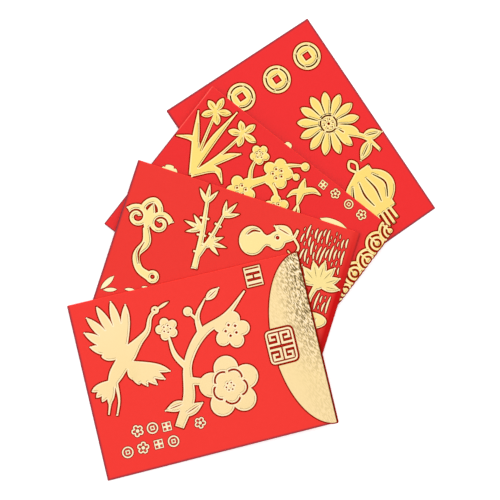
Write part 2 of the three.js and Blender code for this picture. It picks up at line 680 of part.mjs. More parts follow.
// A palace lantern hung along the envelope: loop, caps, ribbed body and tassel.
function lanternFoil() {
  const x = -33;
  const y = -20;
  const body = oval(x, y, 22, 28, 0, 30);
  const ribs = [-8.4, -3, 3, 8.4].map((across) => {
    const bow = across * 1.15;
    return stroke([[x - 7, y + across * 0.75], [x, y + bow], [x + 7, y + across * 0.75]], [0.4, 1, 0.4], 6);
  });
  const caps = [bar(x + 9, y, 3.4, 15), bar(x - 12.4, y, 3.4, 15)];
  const loop = stroke(
    [[x + 12, y], [x + 16, y + 2.4], [x + 19, y], [x + 16, y - 2.4], [x + 12.2, y - 0.4]], [1.3, 1.3], 12,
  );
  const tassel = [-4.5, -1.5, 1.5, 4.5].map(
    (across) => bar(x - 21 + Math.abs(across) * 0.5, y + across, 10.5, 1.5, -across * 0.8),
  );
  return figure([body, ...caps, loop, ...tassel], ribs);
}

const FIGURES = {
  1: {
    half_moon_foil: moonFoil, seal_foil: sealFoil, stamp_foil: stampFoil, bough_foil: boughFoil,
    crane_foil: craneFoil,
  },
  2: {
    ruyi_foil: ruyiFoil, bamboo_foil: bambooFoil, gourd_foil: gourdFoil, lotus_foil: lotusFoil,
  },
  3: { orchid_foil: orchidFoil, plum_foil: plumFoil, swallow_foil: swallowFoil, wave_foil: waveFoil },
  4: {
    coin_foil_a: () => coinFoil(44, 8, 7.2),
    coin_foil_b: () => coinFoil(41.5, -12.5, 7.2),
    coin_foil_c: () => coinFoil(43, -32.5, 7.2),
    chrysanthemum_foil: mumFoil, lantern_foil: lanternFoil,
  },
};

// The closed loops round a figure's top face, the material on their left. An edge that two of
// its triangles share runs once each way and drops out of the count.
function topLoops(solid) {
  const { vertProperties, triVerts } = solid.getMesh();
  const point = (v) => [vertProperties[3 * v], vertProperties[3 * v + 1]];
  const key = (v) => point(v).map((c) => Math.round(c * 1e4)).join();
  const isTop = (v) => vertProperties[3 * v + 2] > FOIL / 2;
  const counts = new Map();
  const points = new Map();
  const count = (start, end, change) => {
    const edge = `${start}>${end}`;
    counts.set(edge, (counts.get(edge) ?? 0) + change);
  };
  for (let t = 0; t < triVerts.length; t += 3) {
    const corners = [...triVerts.slice(t, t + 3)];
    if (corners.every(isTop)) {
      corners.forEach((v, i) => {
        const w = corners[(i + 1) % 3];
        points.set(key(v), point(v));
        count(key(v), key(w), 1);
        count(key(w), key(v), -1);
      });
    }
  }
  const next = new Map();
  for (const [edge, times] of counts) {
    if (times > 0) {
      const [start, end] = edge.split('>');
      next.set(start, end);
    }
  }
  const loops = [];
  while (next.size > 0) {
    const loop = [];
    let at = next.keys().next().value;
    while (next.has(at)) {
      loop.push(points.get(at));
      const end = next.get(at);
      next.delete(at);
      at = end;
    }
    loops.push(loop);
  }
  return loops;
}

// A loop without the points that lie on the straight line between their neighbours.
function straightened(loop) {
  let points = loop;
  let count = 0;
  while (count !== points.length) {
    count = points.length;
    let lastKept = true;
    points = points.filter((p, i) => {
      const before = points.at(i - 1);
      const after = points[(i + 1) % points.length];
      const span = Math.hypot(after[0] - before[0], after[1] - before[1]);
      const area = (p[0] - before[0]) * (after[1] - before[1]) - (p[1] - before[1]) * (after[0] - before[0]);
      lastKept = !lastKept || Math.abs(area) > FOIL_FINENESS * span;
      return lastKept;
    });
  }
  return points;
}

// The same figure as one plain extrusion, stretched to the panel.
function redrawn(solid) {
  const stretch = ([x, y]) => new THREE.Vector2(x * STEP_X, y * STEP_Y);
  const loops = topLoops(solid).map((loop) => straightened(loop).map(stretch));
  const rim = loops.reduce((a, b) => (THREE.ShapeUtils.area(b) > THREE.ShapeUtils.area(a) ? b : a));
  const holes = loops.filter((loop) => THREE.ShapeUtils.area(loop) < -FOIL_SPECK);
  const shape = new THREE.Shape(rim);
  shape.holes = holes.map((loop) => new THREE.Path(loop));
  return slab(shape, THICKNESS + FOIL_CLEAR, FOIL);
}

// The foil stays on the front panel's flat face.
function onFront(solid) {
  const halfLength = LENGTH / 2 - END_FOLD;
  const low = -WIDTH / 2 + SEAM_FOLD;
  const high = WIDTH / 2 - SIDE_FOLD;
  const face = [[-halfLength, low], [halfLength, low], [halfLength, high], [-halfLength, high]];
  return redrawn(solid).intersect(slab(face, THICKNESS, 3 * FOIL));
}

// How the envelopes lie

// Plan outline of an envelope, as corners round it.
function footprint({ x, y, yaw }) {
  const corners = [[-1, -1], [1, -1], [1, 1], [-1, 1]];
  return place(corners.map(([u, v]) => [u * LENGTH / 2, v * WIDTH / 2]), x, y, yaw);
}

// The part of one convex outline that lies inside another.
function overlap(subject, clip) {
  return clip.reduce((points, a, i) => {
    const b = clip[(i + 1) % clip.length];
    const inside = ([x, y]) => (b[0] - a[0]) * (y - a[1]) - (b[1] - a[1]) * (x - a[0]);
    return points.flatMap((p, j) => {
      const q = points[(j + 1) % points.length];
      const [sp, sq] = [inside(p), inside(q)];
      const kept = sp >= 0 ? [p] : [];
      if (sp * sq < 0) {
        const t = sp / (sp - sq);
        kept.push([p[0] + (q[0] - p[0]) * t, p[1] + (q[1] - p[1]) * t]);
      }
      return kept;
    });
  }, subject);
}

// A resting plane z = a + b x + c y has to pass over every prop [x, y, z] and lies as low as it
// can over the load: it is the best plane through three of the props that clears all the others.
function restingPlane(props, load) {
  let best = null;
  for (let i = 0; i < props.length; i += 1) {
    for (let j = i + 1; j < props.length; j += 1) {
      for (let k = j + 1; k < props.length; k += 1) {
        const plane = planeThrough(props[i], props[j], props[k]);
        const clears = plane && props.every(([x, y, z]) => heightAt(plane, x, y) > z - 1e-6);
        if (clears && (!best || heightAt(plane, ...load) < heightAt(best, ...load))) {
          best = plane;
        }
      }
    }
  }
  return best;
}

function planeThrough(p, q, r) {
  const normal = new THREE.Vector3(...q).sub(new THREE.Vector3(...p))
    .cross(new THREE.Vector3(...r).sub(new THREE.Vector3(...p)));
  if (Math.abs(normal.z) < 1e-6) {
    return null;
  }
  const b = -normal.x / normal.z;
  const c = -normal.y / normal.z;
  return { a: p[2] - b * p[0] - c * p[1], b, c };
}

function heightAt({ a, b, c }, x, y) {
  return a + b * x + c * y;
}

// Envelope 4 lies flat. Each one above it leans on the table and on the ones below it.
function layFan() {
  const order = [4, 3, 2, 1];
  const laid = {};
  for (const number of order) {
    const outline = footprint(PLACES[number]);
    const above = order.slice(order.indexOf(number)).map((n) => PLACES[n]);
    const load = [0, 1].map((i) => above.reduce((sum, p) => sum + (i ? p.y : p.x), 0) / above.length);
    const props = outline.map(([x, y]) => [x, y, 0]);
    for (const [below, plane] of Object.entries(laid)) {
      const rise = STACK * Math.hypot(plane.b, plane.c, 1);
      for (const [x, y] of overlap(outline, footprint(PLACES[below]))) {
        props.push([x, y, heightAt(plane, x, y) + rise]);
      }
    }
    laid[number] = restingPlane(props, load);
  }
  return laid;
}

function placeEnvelope(group, { x, y, yaw }, plane) {
  const up = new THREE.Vector3(-plane.b, -plane.c, 1).normalize();
  const heading = new THREE.Vector3(Math.cos(yaw * DEGREE), Math.sin(yaw * DEGREE), 0);
  const along = heading.addScaledVector(up, -heading.dot(up)).normalize();
  const across = new THREE.Vector3().crossVectors(up, along);
  group.quaternion.setFromRotationMatrix(new THREE.Matrix4().makeBasis(along, across, up));
  group.position.set(x, y, heightAt(plane, x, y));
}

// The whole part

const SHEETS = {
  front_panel: frontPanel(),
  side_crease: sideCrease(),
  back_panel: backPanel(),
  seam_tab: seamTab(),
  bottom_crease: bottomCrease(),
  bottom_tab: bottomTab(),
  mouth_crease: mouthCrease(),
  closure_flap: closureFlap(),
};
const GLUES = { seam_glue: seamGlue(), bottom_glue: bottomGlue() };

function addMesh(group, name, solid, look) {
  const mesh = new THREE.Mesh(toGeometry(solid), new THREE.MeshStandardMaterial(look));
  mesh.name = name;
  group.add(mesh);
}

function buildEnvelope(number, plane) {
  const group = new THREE.Group();
  group.name = `envelope_${number}`;
  for (const [name, solid] of Object.entries(SHEETS)) {
    addMesh(group, `${name}_${number}`, solid, PAPER_LOOK[number]);
  }
  for (const [name, solid] of Object.entries(GLUES)) {
    addMesh(group, `${name}_${number}`, solid, GLUE_LOOK);
  }
  for (const [name, draw] of Object.entries(FIGURES[number])) {
    addMesh(group, `${name}_${number}`, onFront(draw()), FOIL_LOOK[number]);
  }
  placeEnvelope(group, PLACES[number], plane);
  return group;
}

const part = new THREE.Group();
part.name = 'fanned_gift_envelopes';
const planes = layFan();
for (const number of [4, 3, 2, 1]) {
  part.add(buildEnvelope(number, planes[number]));
}

// The origin is under the middle of the whole fan, on the table.
part.updateMatrixWorld(true);
const bounds = new THREE.Box3().setFromObject(part, true);
const middle = bounds.getCenter(new THREE.Vector3());
for (const envelope of part.children) {
  envelope.position.sub(new THREE.Vector3(middle.x, middle.y, bounds.min.z));
}

export default part;
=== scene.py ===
"""Looks for a fan of four small red gift-money envelopes with pressed gold foil.

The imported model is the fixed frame. Its sheets get paper materials. Its foil figures are replaced
by softer-edged copies, and small foil ornaments are added between them.
"""

import json
import math

import bmesh
import bpy
from mathutils import Matrix, Vector
from mathutils.bvhtree import BVHTree


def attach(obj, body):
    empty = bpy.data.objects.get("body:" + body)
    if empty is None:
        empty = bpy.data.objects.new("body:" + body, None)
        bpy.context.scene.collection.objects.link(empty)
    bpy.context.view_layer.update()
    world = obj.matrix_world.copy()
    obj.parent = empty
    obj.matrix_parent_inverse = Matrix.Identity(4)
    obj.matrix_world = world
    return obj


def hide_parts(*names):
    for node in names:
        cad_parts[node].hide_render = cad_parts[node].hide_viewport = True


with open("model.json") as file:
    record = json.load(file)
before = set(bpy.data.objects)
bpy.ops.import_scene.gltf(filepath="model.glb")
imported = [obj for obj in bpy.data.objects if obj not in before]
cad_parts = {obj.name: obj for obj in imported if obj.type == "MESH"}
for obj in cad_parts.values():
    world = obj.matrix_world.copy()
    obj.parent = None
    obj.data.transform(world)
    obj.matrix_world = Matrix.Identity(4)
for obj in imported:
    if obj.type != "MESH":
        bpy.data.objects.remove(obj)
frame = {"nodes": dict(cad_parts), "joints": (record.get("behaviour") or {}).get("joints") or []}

bl_info = {
    "name": "Fanned gift envelopes",
    "version": (1, 0, 0),
    "blender": (4, 5, 0),
    "location": "3D View > Sidebar > Gift envelopes",
    "description": "Papers, pressed foil and ornaments of four fanned gift-money envelopes",
    "category": "Object",
}

MM = 0.001
NUMBERS = (1, 2, 3, 4)
FRONT_SHEETS = ("front_panel", "bottom_crease", "mouth_crease")
BACK_SHEETS = ("back_panel", "seam_tab", "bottom_tab", "closure_flap")
LIT_FOLDS = ("side_crease",)
FOILS = {
    1: ("seal_foil_1", "stamp_foil_1", "bough_foil_1", "crane_foil_1"),
    2: ("ruyi_foil_2", "bamboo_foil_2", "gourd_foil_2", "lotus_foil_2"),
    3: ("orchid_foil_3", "plum_foil_3", "swallow_foil_3", "wave_foil_3"),
    4: ("coin_foil_a_4", "coin_foil_b_4", "coin_foil_c_4", "chrysanthemum_foil_4",
        "lantern_foil_4"),
}
HALF_MOON = "half_moon_foil_1"

# Where the small ornaments lie: millimetres along and across from the middle of an envelope's
# front, degrees turned, and size.
ORNAMENTS = {
    1: (("blossom", -39.4, -23.8, 0, 1.05), ("coin", -32.0, -24.2, 0, 1.05),
        ("knot", -25.0, -25.2, 0, 1.1), ("blossom", -8.6, -27.4, 20, 1.0),
        ("coin", -46.4, -32.8, 0, 1.05), ("blossom", -38.6, -32.5, 40, 1.05),
        ("knot", -30.8, -32.6, 0, 1.1), ("coin", -23.4, -33.0, 0, 1.05)),
    2: (("leaf", -54.8, -18.6, 62, 1.5), ("leaf", -52.4, -21.6, 20, 1.1),
        ("leaf", -43.4, -18.6, 14, 0.8), ("leaf", -36.4, -15.2, 14, 0.6)),
    3: (("knot", 15.7, 39.5, 0, 0.95), ("blossom", 23.4, 39.8, 15, 0.9),
        ("coin", 32.1, 39.8, 0, 0.9), ("blossom", 40.5, 39.6, 40, 0.95),
        ("bud", -49.2, -4.6, 10, 1.5), ("leaf", 31.8, 27.2, 17, 2.4)),
    4: (("bud", 10.2, 2.4, 0, 0.7),),
}
# Fine dark veins on the larger petals: envelope, root of the petals, how far out a vein starts
# and ends, and the petals' directions in degrees.
VEINS = ((2, (46.0, 12.0), (4.2, 9.6), (6, 34, 62, 90, 118, 146, 174)),
         (3, (-49.5, 35.0), (1.8, 5.2), (100, 164, 232, 312, 390)),
         (3, (-32.0, 34.5), (1.8, 5.2), (75, 139, 207, 287, 365)))
# The dashes on envelope 2, in millimetres: the strip they fill lengthwise and across, the step
# between rows, how far each row starts after the last, a dash's length at size 1, the gap to
# the next, how far they keep clear of a figure, and which figures those are.
DASHES_ALONG = (31.0, 55.2)
DASHES_ACROSS = (-9.0, 40.6)
DASH_ROW = 2.05
DASH_STAGGER = 2.6
DASH_LENGTH = 5
DASH_GAP = 1.3
DASH_CLEARANCE = 0.9
DASHES_CLEAR_OF = ("lotus_foil_2", "gourd_foil_2")

# The rim of painted shade along a sheet's folds, in millimetres in from its outline: where it
# starts on each envelope, and where it is full.
RIM_WIDTH = {1: 1.35, 2: 1.35, 3: 0.65, 4: 1.35}
RIM_SOLID = 0.4
# Where the paper has a painted highlight (the upper part of envelope 3's closed end) and painted
# shade (the last strip before envelope 2's mouth), in millimetres on an envelope's axes. Each mark
# grows from the first value to the second.
HIGHLIGHT_ALONG = (-50, -55)
HIGHLIGHT_ACROSS = (14.5, 17)
MOUTH_SHADE_ALONG = (54.2, 56.6)
MOUTH_SHADE_ACROSS = (44, 10)
# Where the half moon is crushed, in the same way, how its creases lean and how far they are
# stretched, and the linear colour of the painted highlight on its crests.
CRUSHED_ALONG = (43, 54.5)
CRUSHED_ACROSS = (-18, 12)
CREASE_LEAN = math.radians(20)
CREASE_STRETCH = 3.6
CREST_HIGHLIGHT = (0.92, 0.76, 0.55, 1)
# A figure's rim of painted highlight starts this many lip roundings inside its edge.
FOIL_RIM_START = 5

# An edge of a figure that turns less than this is smoothed, one that turns more is blunted.
GENTLE_TURN = math.radians(42)
# How both a figure's corners and its upper edge are rounded.
ROUNDING = {"segments": 2, "profile": 0.5, "clamp_overlap": False}
# The way that a figure's edge faces where its foil bends out of the light.
AWAY_FROM_LIGHT = (0.64, -0.77, 0)
# Metres, and the way toward the brighter side of the room.
LAMP_PLACE = (-0.45, 0.6)
BRIGHT_SIDE = (-0.45, 0.75, 0.48)
# The camera's right and up, and its place in millimetres.
CAMERA_RIGHT = (0.98960986, 0, 0.14377876)
CAMERA_UP = (-0.00978083, 0.99768349, 0.06732011)
CAMERA_PLACE = (-89.733, -43.863, 598.107)


def linear(code):
    """An sRGB hex colour as the linear RGBA that Blender's sockets take."""
    parts = [int(code[i:i + 2], 16) / 255 for i in (1, 3, 5)]
    return tuple(c / 12.92 if c <= 0.04045 else ((c + 0.055) / 1.055) ** 2.4 for c in parts) + (1,)


def colour_property(name, description, code):
    """A colour setting whose default is an sRGB hex value."""
    return bpy.props.FloatVectorProperty(
        name=name, description=description, subtype="COLOR", size=4, min=0, max=1,
        default=linear(code))


def length_property(name, description, millimetres):
    """A length setting, given in millimetres and kept in metres."""
    return bpy.props.FloatProperty(
        name=name, description=description, default=millimetres * MM, min=0, unit="LENGTH",
        precision=5)


class GiftEnvelopePaper(bpy.types.PropertyGroup):
    """Colours of the printed paper."""

    red_1: colour_property("Envelope 1", "Printed red of the top envelope", "#F1200E")
    red_2: colour_property("Envelope 2", "Printed red of the second envelope", "#EB1C08")
    red_3: colour_property("Envelope 3", "Printed red of the third envelope", "#EA0101")
    red_4: colour_property("Envelope 4", "Printed red of the bottom envelope", "#ED0305")
    # Painted shade: this crimson stands for the shade where a sheet turns over a fold.
    edge: colour_property("Edges", "Crimson where the print turns over a fold", "#840C24")
    # Painted highlight on the long fold that faces the lamp.
    lit_fold: colour_property("Lit folds", "The fold that faces the lamp", "#FC2E1C")
    # Painted highlight: pale along the upper part of envelope 3's closed end.
    pale_highlight: colour_property("Cracked fold", "Pale fibres where the print cracked", "#F84A40")
    # Painted shade: deeper red where the last strip before envelope 2's mouth would bend down.
    bent: colour_property("Bent strip", "Deeper red past the second score at a mouth", "#C40000")
    inside: colour_property("Inside", "Unprinted side of the sheet", "#F4F0EA")
    glue: colour_property("Glue", "Dried paper glue", "#E8E2CE")


class GiftEnvelopeFoil(bpy.types.PropertyGroup):
    """Colours and sizes of the pressed foil."""

    gold_1: colour_property("Envelope 1", "Pale champagne foil", "#E9CF9E")
    gold_2: colour_property("Envelope 2", "Greenish pale foil", "#E9D393")
    gold_3: colour_property("Envelope 3", "Yellow gold foil", "#EACC74")
    gold_4: colour_property("Envelope 4", "Yellow gold foil", "#EACC74")
    # Painted shade on the steep sides of the foil.
    wall: colour_property("Side walls", "Browned foil on the steep sides", "#5E1000")
    # Painted shade in the creases of crushed foil.
    crease: colour_property("Creases", "Olive brown in the creases of crushed foil", "#5E4C2C")
    # Painted shade on the foil that wraps down over the fold.
    folded: colour_property("Fold wall", "Worn foil that wraps down over the fold", "#2E1608")
    # Painted shade of the groove that the die pressed round each figure.
    pressed: colour_property("Pressed line", "Bruised paper round each figure", "#941200")
    shade: colour_property("Bend line", "Foil where it bends away from the light", "#3A2A0C")
    height: length_property("Foil height", "Raised height of the pressed foil", 0.08)
    clearance: length_property("Clearance", "Gap between the paper and the foil", 0.002)
    corner: length_property("Corner rounding", "Rounding of a figure's sharp corners", 0.12)
    lip: length_property("Lip rounding", "Rounding of the foil's upper edge", 0.03)
    # Widths of those lines of painted shade, round the figures and round the small ornaments.
    line: length_property("Pressed line width", "Dark line pressed round each figure", 0.64)
    fine_line: length_property("Fine line width", "Dark line round the small ornaments", 0.37)
    # Painted shade: where the dark line at the foil's bend lies, and how wide it is.
    bend: length_property("Bend", "How far inside the edge the foil bends down", 0.55)
    bend_line: length_property("Bend line width", "Width of the dark line at that bend", 0.24)
    # Painted highlight: the rim inside each edge, and the small ornaments, take a lighter copy of
    # the foil.
    rim: length_property("Rim width", "Width of the burnished rim inside each edge", 0.5)
    burnish: bpy.props.FloatProperty(
        name="Burnish", description="How far the rim's colour goes toward white", default=0.24,
        min=0, max=1, subtype="FACTOR")


class GiftEnvelopeStage(bpy.types.PropertyGroup):
    """Light, floor and camera."""

    softbox: length_property("Softbox size", "Width of the square lamp overhead", 2200)
    softbox_height: length_property("Softbox height", "Height of the lamp over the floor", 1100)
    power: bpy.props.FloatProperty(
        name="Softbox power", description="Power of the lamp", default=5.8, min=0, unit="POWER")
    sky: bpy.props.FloatProperty(
        name="Room light", description="Level of the light from all round", default=1.1,
        min=0, max=2, subtype="FACTOR")
    floor: colour_property("Floor", "Colour of the white floor", "#FAFAFA")
    lens: bpy.props.FloatProperty(
        name="Lens", description="Focal length for a 36 mm sensor", default=86.4, min=1,
        unit="CAMERA")


# Helpers for modelling


def only(piece):
    """Deselects everything else and makes this piece the active one."""
    if bpy.context.mode != "OBJECT":
        leave_edit()
    bpy.ops.object.select_all(action="DESELECT")
    piece.select_set(True)
    bpy.context.view_layer.objects.active = piece


def edit(piece):
    """Makes this piece the active one and goes into edit mode."""
    only(piece)
    bpy.ops.object.mode_set(mode="EDIT")


def pick(piece, kind, wanted):
    """In edit mode, selects just the parts of this kind (VERT, EDGE or FACE) that wanted()
    picks, and says how many there are."""
    bpy.ops.mesh.select_mode(type=kind)
    bpy.ops.mesh.select_all(action="DESELECT")
    mesh = bmesh.from_edit_mesh(piece.data)
    parts = {"VERT": mesh.verts, "EDGE": mesh.edges, "FACE": mesh.faces}[kind]
    picked = [part for part in parts if wanted(part)]
    for part in picked:
        part.select_set(True)
    mesh.select_flush_mode()
    bmesh.update_edit_mesh(piece.data)
    return len(picked)


def select_all():
    """In edit mode, selects the whole piece."""
    bpy.ops.mesh.select_all(action="SELECT")


def leave_edit():
    """Goes back to object mode."""
    bpy.ops.object.mode_set(mode="OBJECT")


def close_shape():
    """Turns all faces outward and leaves edit mode."""
    select_all()
    bpy.ops.mesh.normals_make_consistent(inside=False)
    leave_edit()


def add_modifier(piece, kind, **settings):
    """Adds a modifier with these settings and applies it."""
    only(piece)
    modifier = piece.modifiers.new(kind.title(), kind)
    for name, value in settings.items():
        setattr(modifier, name, value)
    bpy.ops.object.modifier_apply(modifier=modifier.name)


def linked(name, data):
    """A new object in the scene, with this mesh, lamp or camera."""
    piece = bpy.data.objects.new(name, data)
    bpy.context.scene.collection.objects.link(piece)
    return piece


def duplicate(piece, name):
    """A second object with its own copy of the mesh."""
    twin = linked(name, piece.data.copy())
    twin.data.name = name
    return twin


def joined(pieces, name):
    """Joins several meshes into one named piece."""
    only(pieces[0])
    for piece in pieces:
        piece.select_set(True)
    bpy.ops.object.join()
    pieces[0].name = name
    pieces[0].data.name = name
    return pieces[0]


def axes_of(number):
    """An envelope's own axes, as a matrix: x to the mouth, y across, z out of its front face,
    with the origin in the middle of that face."""
    hinge = next(j for j in frame["joints"] if j["name"] == f"flap_{number}_fold")
    corner = Vector(hinge["pos_m"])
    panel = frame["nodes"][f"front_panel_{number}"].data
    faces = [face for face in panel.polygons if face.normal.z > 0.9]
    up = max(faces, key=lambda face: face.area).normal.copy()
    along = (-Vector(hinge["axis"])).cross(up).normalized()
    across = up.cross(along)
    crease = frame["nodes"][f"bottom_crease_{number}"].data
    bottom_end = min((v.co - corner).dot(along) for v in crease.vertices)
    front_face = max((v.co - corner).dot(up) for v in panel.vertices)
    middle = corner + along * bottom_end / 2 + up * front_face
    axes = Matrix((along, across, up)).transposed().to_4x4()
    axes.translation = middle
    return axes


def local_box(name, number):
    """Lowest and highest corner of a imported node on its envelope's own axes."""
    back = axes_of(number).inverted()
    points = [back @ v.co for v in frame["nodes"][name].data.vertices]
    low = Vector(min(point[i] for point in points) for i in range(3))
    high = Vector(max(point[i] for point in points) for i in range(3))
    return low, high


def dress(piece, material):
    """Gives a piece this material alone."""
    piece.data.materials.clear()
    piece.data.materials.append(material)


def lay(piece, number, material):
    """Puts a piece drawn on an envelope's own axes onto that envelope, and finishes it."""
    piece.data.transform(axes_of(number))
    dress(piece, material)
    only(piece)
    bpy.ops.object.shade_smooth_by_angle(angle=math.radians(12))
    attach(piece, f"envelope_{number}")


# Helpers for materials


def new_material(name):
    """An empty node material and its node tree."""
    material = bpy.data.materials.new(name)
    material.use_nodes = True
    tree = material.node_tree
    tree.nodes.clear()
    return material, tree


def add(tree, kind, values=None, **settings):
    """Adds a node. Settings are its own options. Values fill its inputs, or link them where the
    value is another node's output."""
    node = tree.nodes.new(kind)
    for name, value in settings.items():
        setattr(node, name, value)
    for name, value in (values or {}).items():
        if isinstance(value, bpy.types.NodeSocket):
            tree.links.new(value, node.inputs[name])
        else:
            node.inputs[name].default_value = value
    return node


def finish_material(tree, shader):
    """Links the shader to the material's output."""
    add(tree, "ShaderNodeOutputMaterial", {"Surface": shader.outputs[0]})


def principled(tree, values):
    """Gives the material a Principled shader with these values."""
    finish_material(tree, add(tree, "ShaderNodeBsdfPrincipled", values))


def coordinates(tree):
    """The places and directions on a piece."""
    return add(tree, "ShaderNodeTexCoord").outputs


def parts_of(tree, vector):
    """The X, Y and Z of a vector."""
    return add(tree, "ShaderNodeSeparateXYZ", {"Vector": vector}).outputs


def combined(tree, operation, first, second=0.0):
    """The result of a Math node."""
    return add(tree, "ShaderNodeMath", {0: first, 1: second}, operation=operation).outputs[0]


def ramp(tree, value, start, end, low=0.0, high=1.0):
    """A number that goes from low to high while the value goes from start to end."""
    return add(tree, "ShaderNodeMapRange", {
        "Value": value, "From Min": start, "From Max": end, "To Min": low,
        "To Max": high}).outputs[0]


def band(tree, place, limits, low=0.0, high=1.0):
    """The same between two places that are given in millimetres."""
    return ramp(tree, place, limits[0] * MM, limits[1] * MM, low, high)


def mix(tree, share, first, second):
    """The colour that goes from the first to the second by this share."""
    return add(tree, "ShaderNodeMixRGB", {
        "Fac": share, "Color1": first, "Color2": second}).outputs["Color"]


def noise(tree, vector, size, **settings):
    """Noise with features of this many millimetres."""
    values = {"Vector": vector, "Scale": 1 / (size * MM), **settings}
    return add(tree, "ShaderNodeTexNoise", values).outputs["Fac"]


def scaled(colour, factor):
    """A lighter or darker copy of a colour."""
    return tuple(part * factor for part in colour[:3]) + (1,)


def whitened(colour, share):
    """A copy of a colour, this share of the way to white."""
    return tuple(part + (1 - part) * share for part in colour[:3]) + (1,)


def on_envelope(tree, place, number):
    """The place on an envelope's own axes."""
    axes = axes_of(number)
    return add(tree, "ShaderNodeMapping", {
        "Vector": place["Object"], "Location": axes.translation,
        "Rotation": axes.to_euler()}, vector_type="TEXTURE").outputs[0]


def rim_of(tree, split, number):
    """How near a point is to the folded edges of a sheet, 0 inside and 1 at the fold: the share of
    painted shade along the folds. The long edge that faces the lamp counts on the bottom envelope
    alone."""
    bottom_end = local_box(f"bottom_crease_{number}", number)[0].x
    half_width = local_box(f"front_panel_{number}", number)[1].y
    lengthwise = combined(tree, "ABSOLUTE", split["X"])
    past_end = combined(tree, "ADD", lengthwise, bottom_end)
    if number == 4:
        across = combined(tree, "ABSOLUTE", split["Y"])
    else:
        across = combined(tree, "MULTIPLY", split["Y"], -1)
    past_side = combined(tree, "SUBTRACT", across, half_width)
    nearest = combined(tree, "MAXIMUM", past_end, past_side)
    return band(tree, nearest, (-RIM_WIDTH[number], -RIM_SOLID))


def paper_material(name, colours, number, outer_up, edge, rimmed):
    """Coated paper, 150 gsm, printed red by offset on one side: an even satin red, a faint
    mottle, painted shade in this edge colour where the sheet turns away and, if rimmed, along its
    folds, and plain white inside."""
    red = getattr(colours, f"red_{number}")
    material, tree = new_material(name)
    place = coordinates(tree)
    turned = parts_of(tree, place["Normal"])
    # Paper fibres are some 0.03 mm thick, too fine to show, so the mottle is drawn 2 mm coarse.
    mottle = noise(tree, place["Object"], 2, Detail=4, Roughness=0.6)
    # Slow waves of 30 mm, where the ink lies a little thicker or thinner.
    cloud = noise(tree, place["Object"], 30, Detail=2)
    ink_and_fold_shade = mix(tree, cloud, red, scaled(red, 0.965))
    face = mix(tree, mottle, ink_and_fold_shade, scaled(red, 0.955))
    # Painted shade: the edge colour on the folds and where the sheet turns away.
    fold_shade_colour, sheen = edge, 0.4
    if rimmed:
        split = parts_of(tree, on_envelope(tree, place, number))
        if number == 2:
            face, fold_shade_colour, sheen = mouth_shade_strip(tree, split, face, fold_shade_colour, colours.bent)
        if number == 3:
            fold_shade_colour = highlighted_fold(tree, split, fold_shade_colour, colours.pale_highlight)
        # Painted shade along the folds, by how near they are.
        mark_share = combined(tree, "MULTIPLY", rim_of(tree, split, number), 0.85)
        face = mix(tree, mark_share, face, fold_shade_colour)
    outward = combined(tree, "MULTIPLY", turned["Z"], 1 if outer_up else -1)
    printed = ramp(tree, outward, -0.85, -0.75)
    # Painted shade where the sheet turns away from level.
    level = ramp(tree, outward, 0.93, 0.999)
    shaded_where_turned = mix(tree, level, fold_shade_colour, face)
    colour = mix(tree, printed, colours.inside, shaded_where_turned)
    gloss = ramp(tree, mottle, 0, 1, 0.44, 0.56)
    relief = add(tree, "ShaderNodeBump", {
        "Height": mottle, "Strength": 0.12, "Distance": 0.02 * MM})
    principled(tree, {
        "Base Color": colour, "Roughness": gloss, "IOR": 1.5, "Specular IOR Level": sheen,
        "Normal": relief.outputs[0]})
    return material


def highlighted_fold(tree, split, ink_and_fold_shade, pale):
    """The painted shade along a fold, with a pale painted highlight on the upper part of the
    closed end, where the sheet lies over the envelope below."""
    upper = band(tree, split["Y"], HIGHLIGHT_ACROSS)
    closed_end = band(tree, split["X"], HIGHLIGHT_ALONG)
    return mix(tree, combined(tree, "MULTIPLY", upper, closed_end), ink_and_fold_shade, pale)


def mouth_shade_strip(tree, split, face, ink_and_fold_shade, bent):
    """The colour of the face, the colour on the folds and the sheen, for a sheet whose last 4 mm
    before its mouth get painted shade, as if they bent down past a second score: a deeper red and
    less sheen there, most of all toward the lower side."""
    past = band(tree, split["X"], MOUTH_SHADE_ALONG)
    lower = band(tree, split["Y"], MOUTH_SHADE_ACROSS, 0.3)
    share = combined(tree, "MULTIPLY", past, lower)
    deep_face = mix(tree, share, face, bent)
    deep_fold_shade = mix(tree, past, ink_and_fold_shade, scaled(bent, 0.8))
    return deep_face, deep_fold_shade, ramp(tree, share, 0, 1, 0.4, 0.1)


def foil_material(name, gold, foil, number, crushed=0.0, fold=None):
    """Hot-stamping foil, vacuum-metallised: a pale, even, soft gloss on the level, and painted
    shade in brown on the steep sides. Crushed foil also has painted shade in fine olive creases and
    painted highlights on their crests. Foil that wraps over a fold gets painted shade in brown from
    there on, wherever it faces."""
    material, tree = new_material(name)
    place = coordinates(tree)
    local = on_envelope(tree, place, number)
    split = parts_of(tree, local)
    # Painted shade: dark brown and not metallic past the fold, or else on the steep sides.
    if fold:
        wall = foil.folded
        unshaded = ramp(tree, split["X"], fold + 0.1 * MM, fold - 0.05 * MM)
    else:
        wall = foil.wall
        turned = parts_of(tree, place["Normal"])
        unshaded = ramp(tree, turned["Z"], 0.55, 0.95)
    # The press leaves a fine orange peel of about 0.8 mm, drawn 1.5 mm coarse to show.
    peel = noise(tree, place["Object"], 1.5, Detail=5, Roughness=0.65)
    # Slow change of tone over 25 mm, where the press was a little hotter.
    heat = noise(tree, place["Object"], 25, Detail=2)
    level = mix(tree, heat, gold, (gold[0] * 0.95, gold[1] * 0.95, gold[2] * 0.84, 1))
    height, strength, depth = peel, 0.15, 0.03 * MM
    if crushed:
        level, height, strength = crushed_foil(tree, local, split, level, foil, number, crushed)
        depth = 0.2 * MM
    gloss = ramp(tree, peel, 0, 1, 0.26, 0.38)
    relief = add(tree, "ShaderNodeBump", {
        "Height": height, "Strength": strength, "Distance": depth})
    principled(tree, {
        "Base Color": mix(tree, unshaded, wall, level), "Metallic": unshaded, "Roughness": gloss,
        "Specular IOR Level": 0.0, "Normal": relief.outputs[0]})
    return material


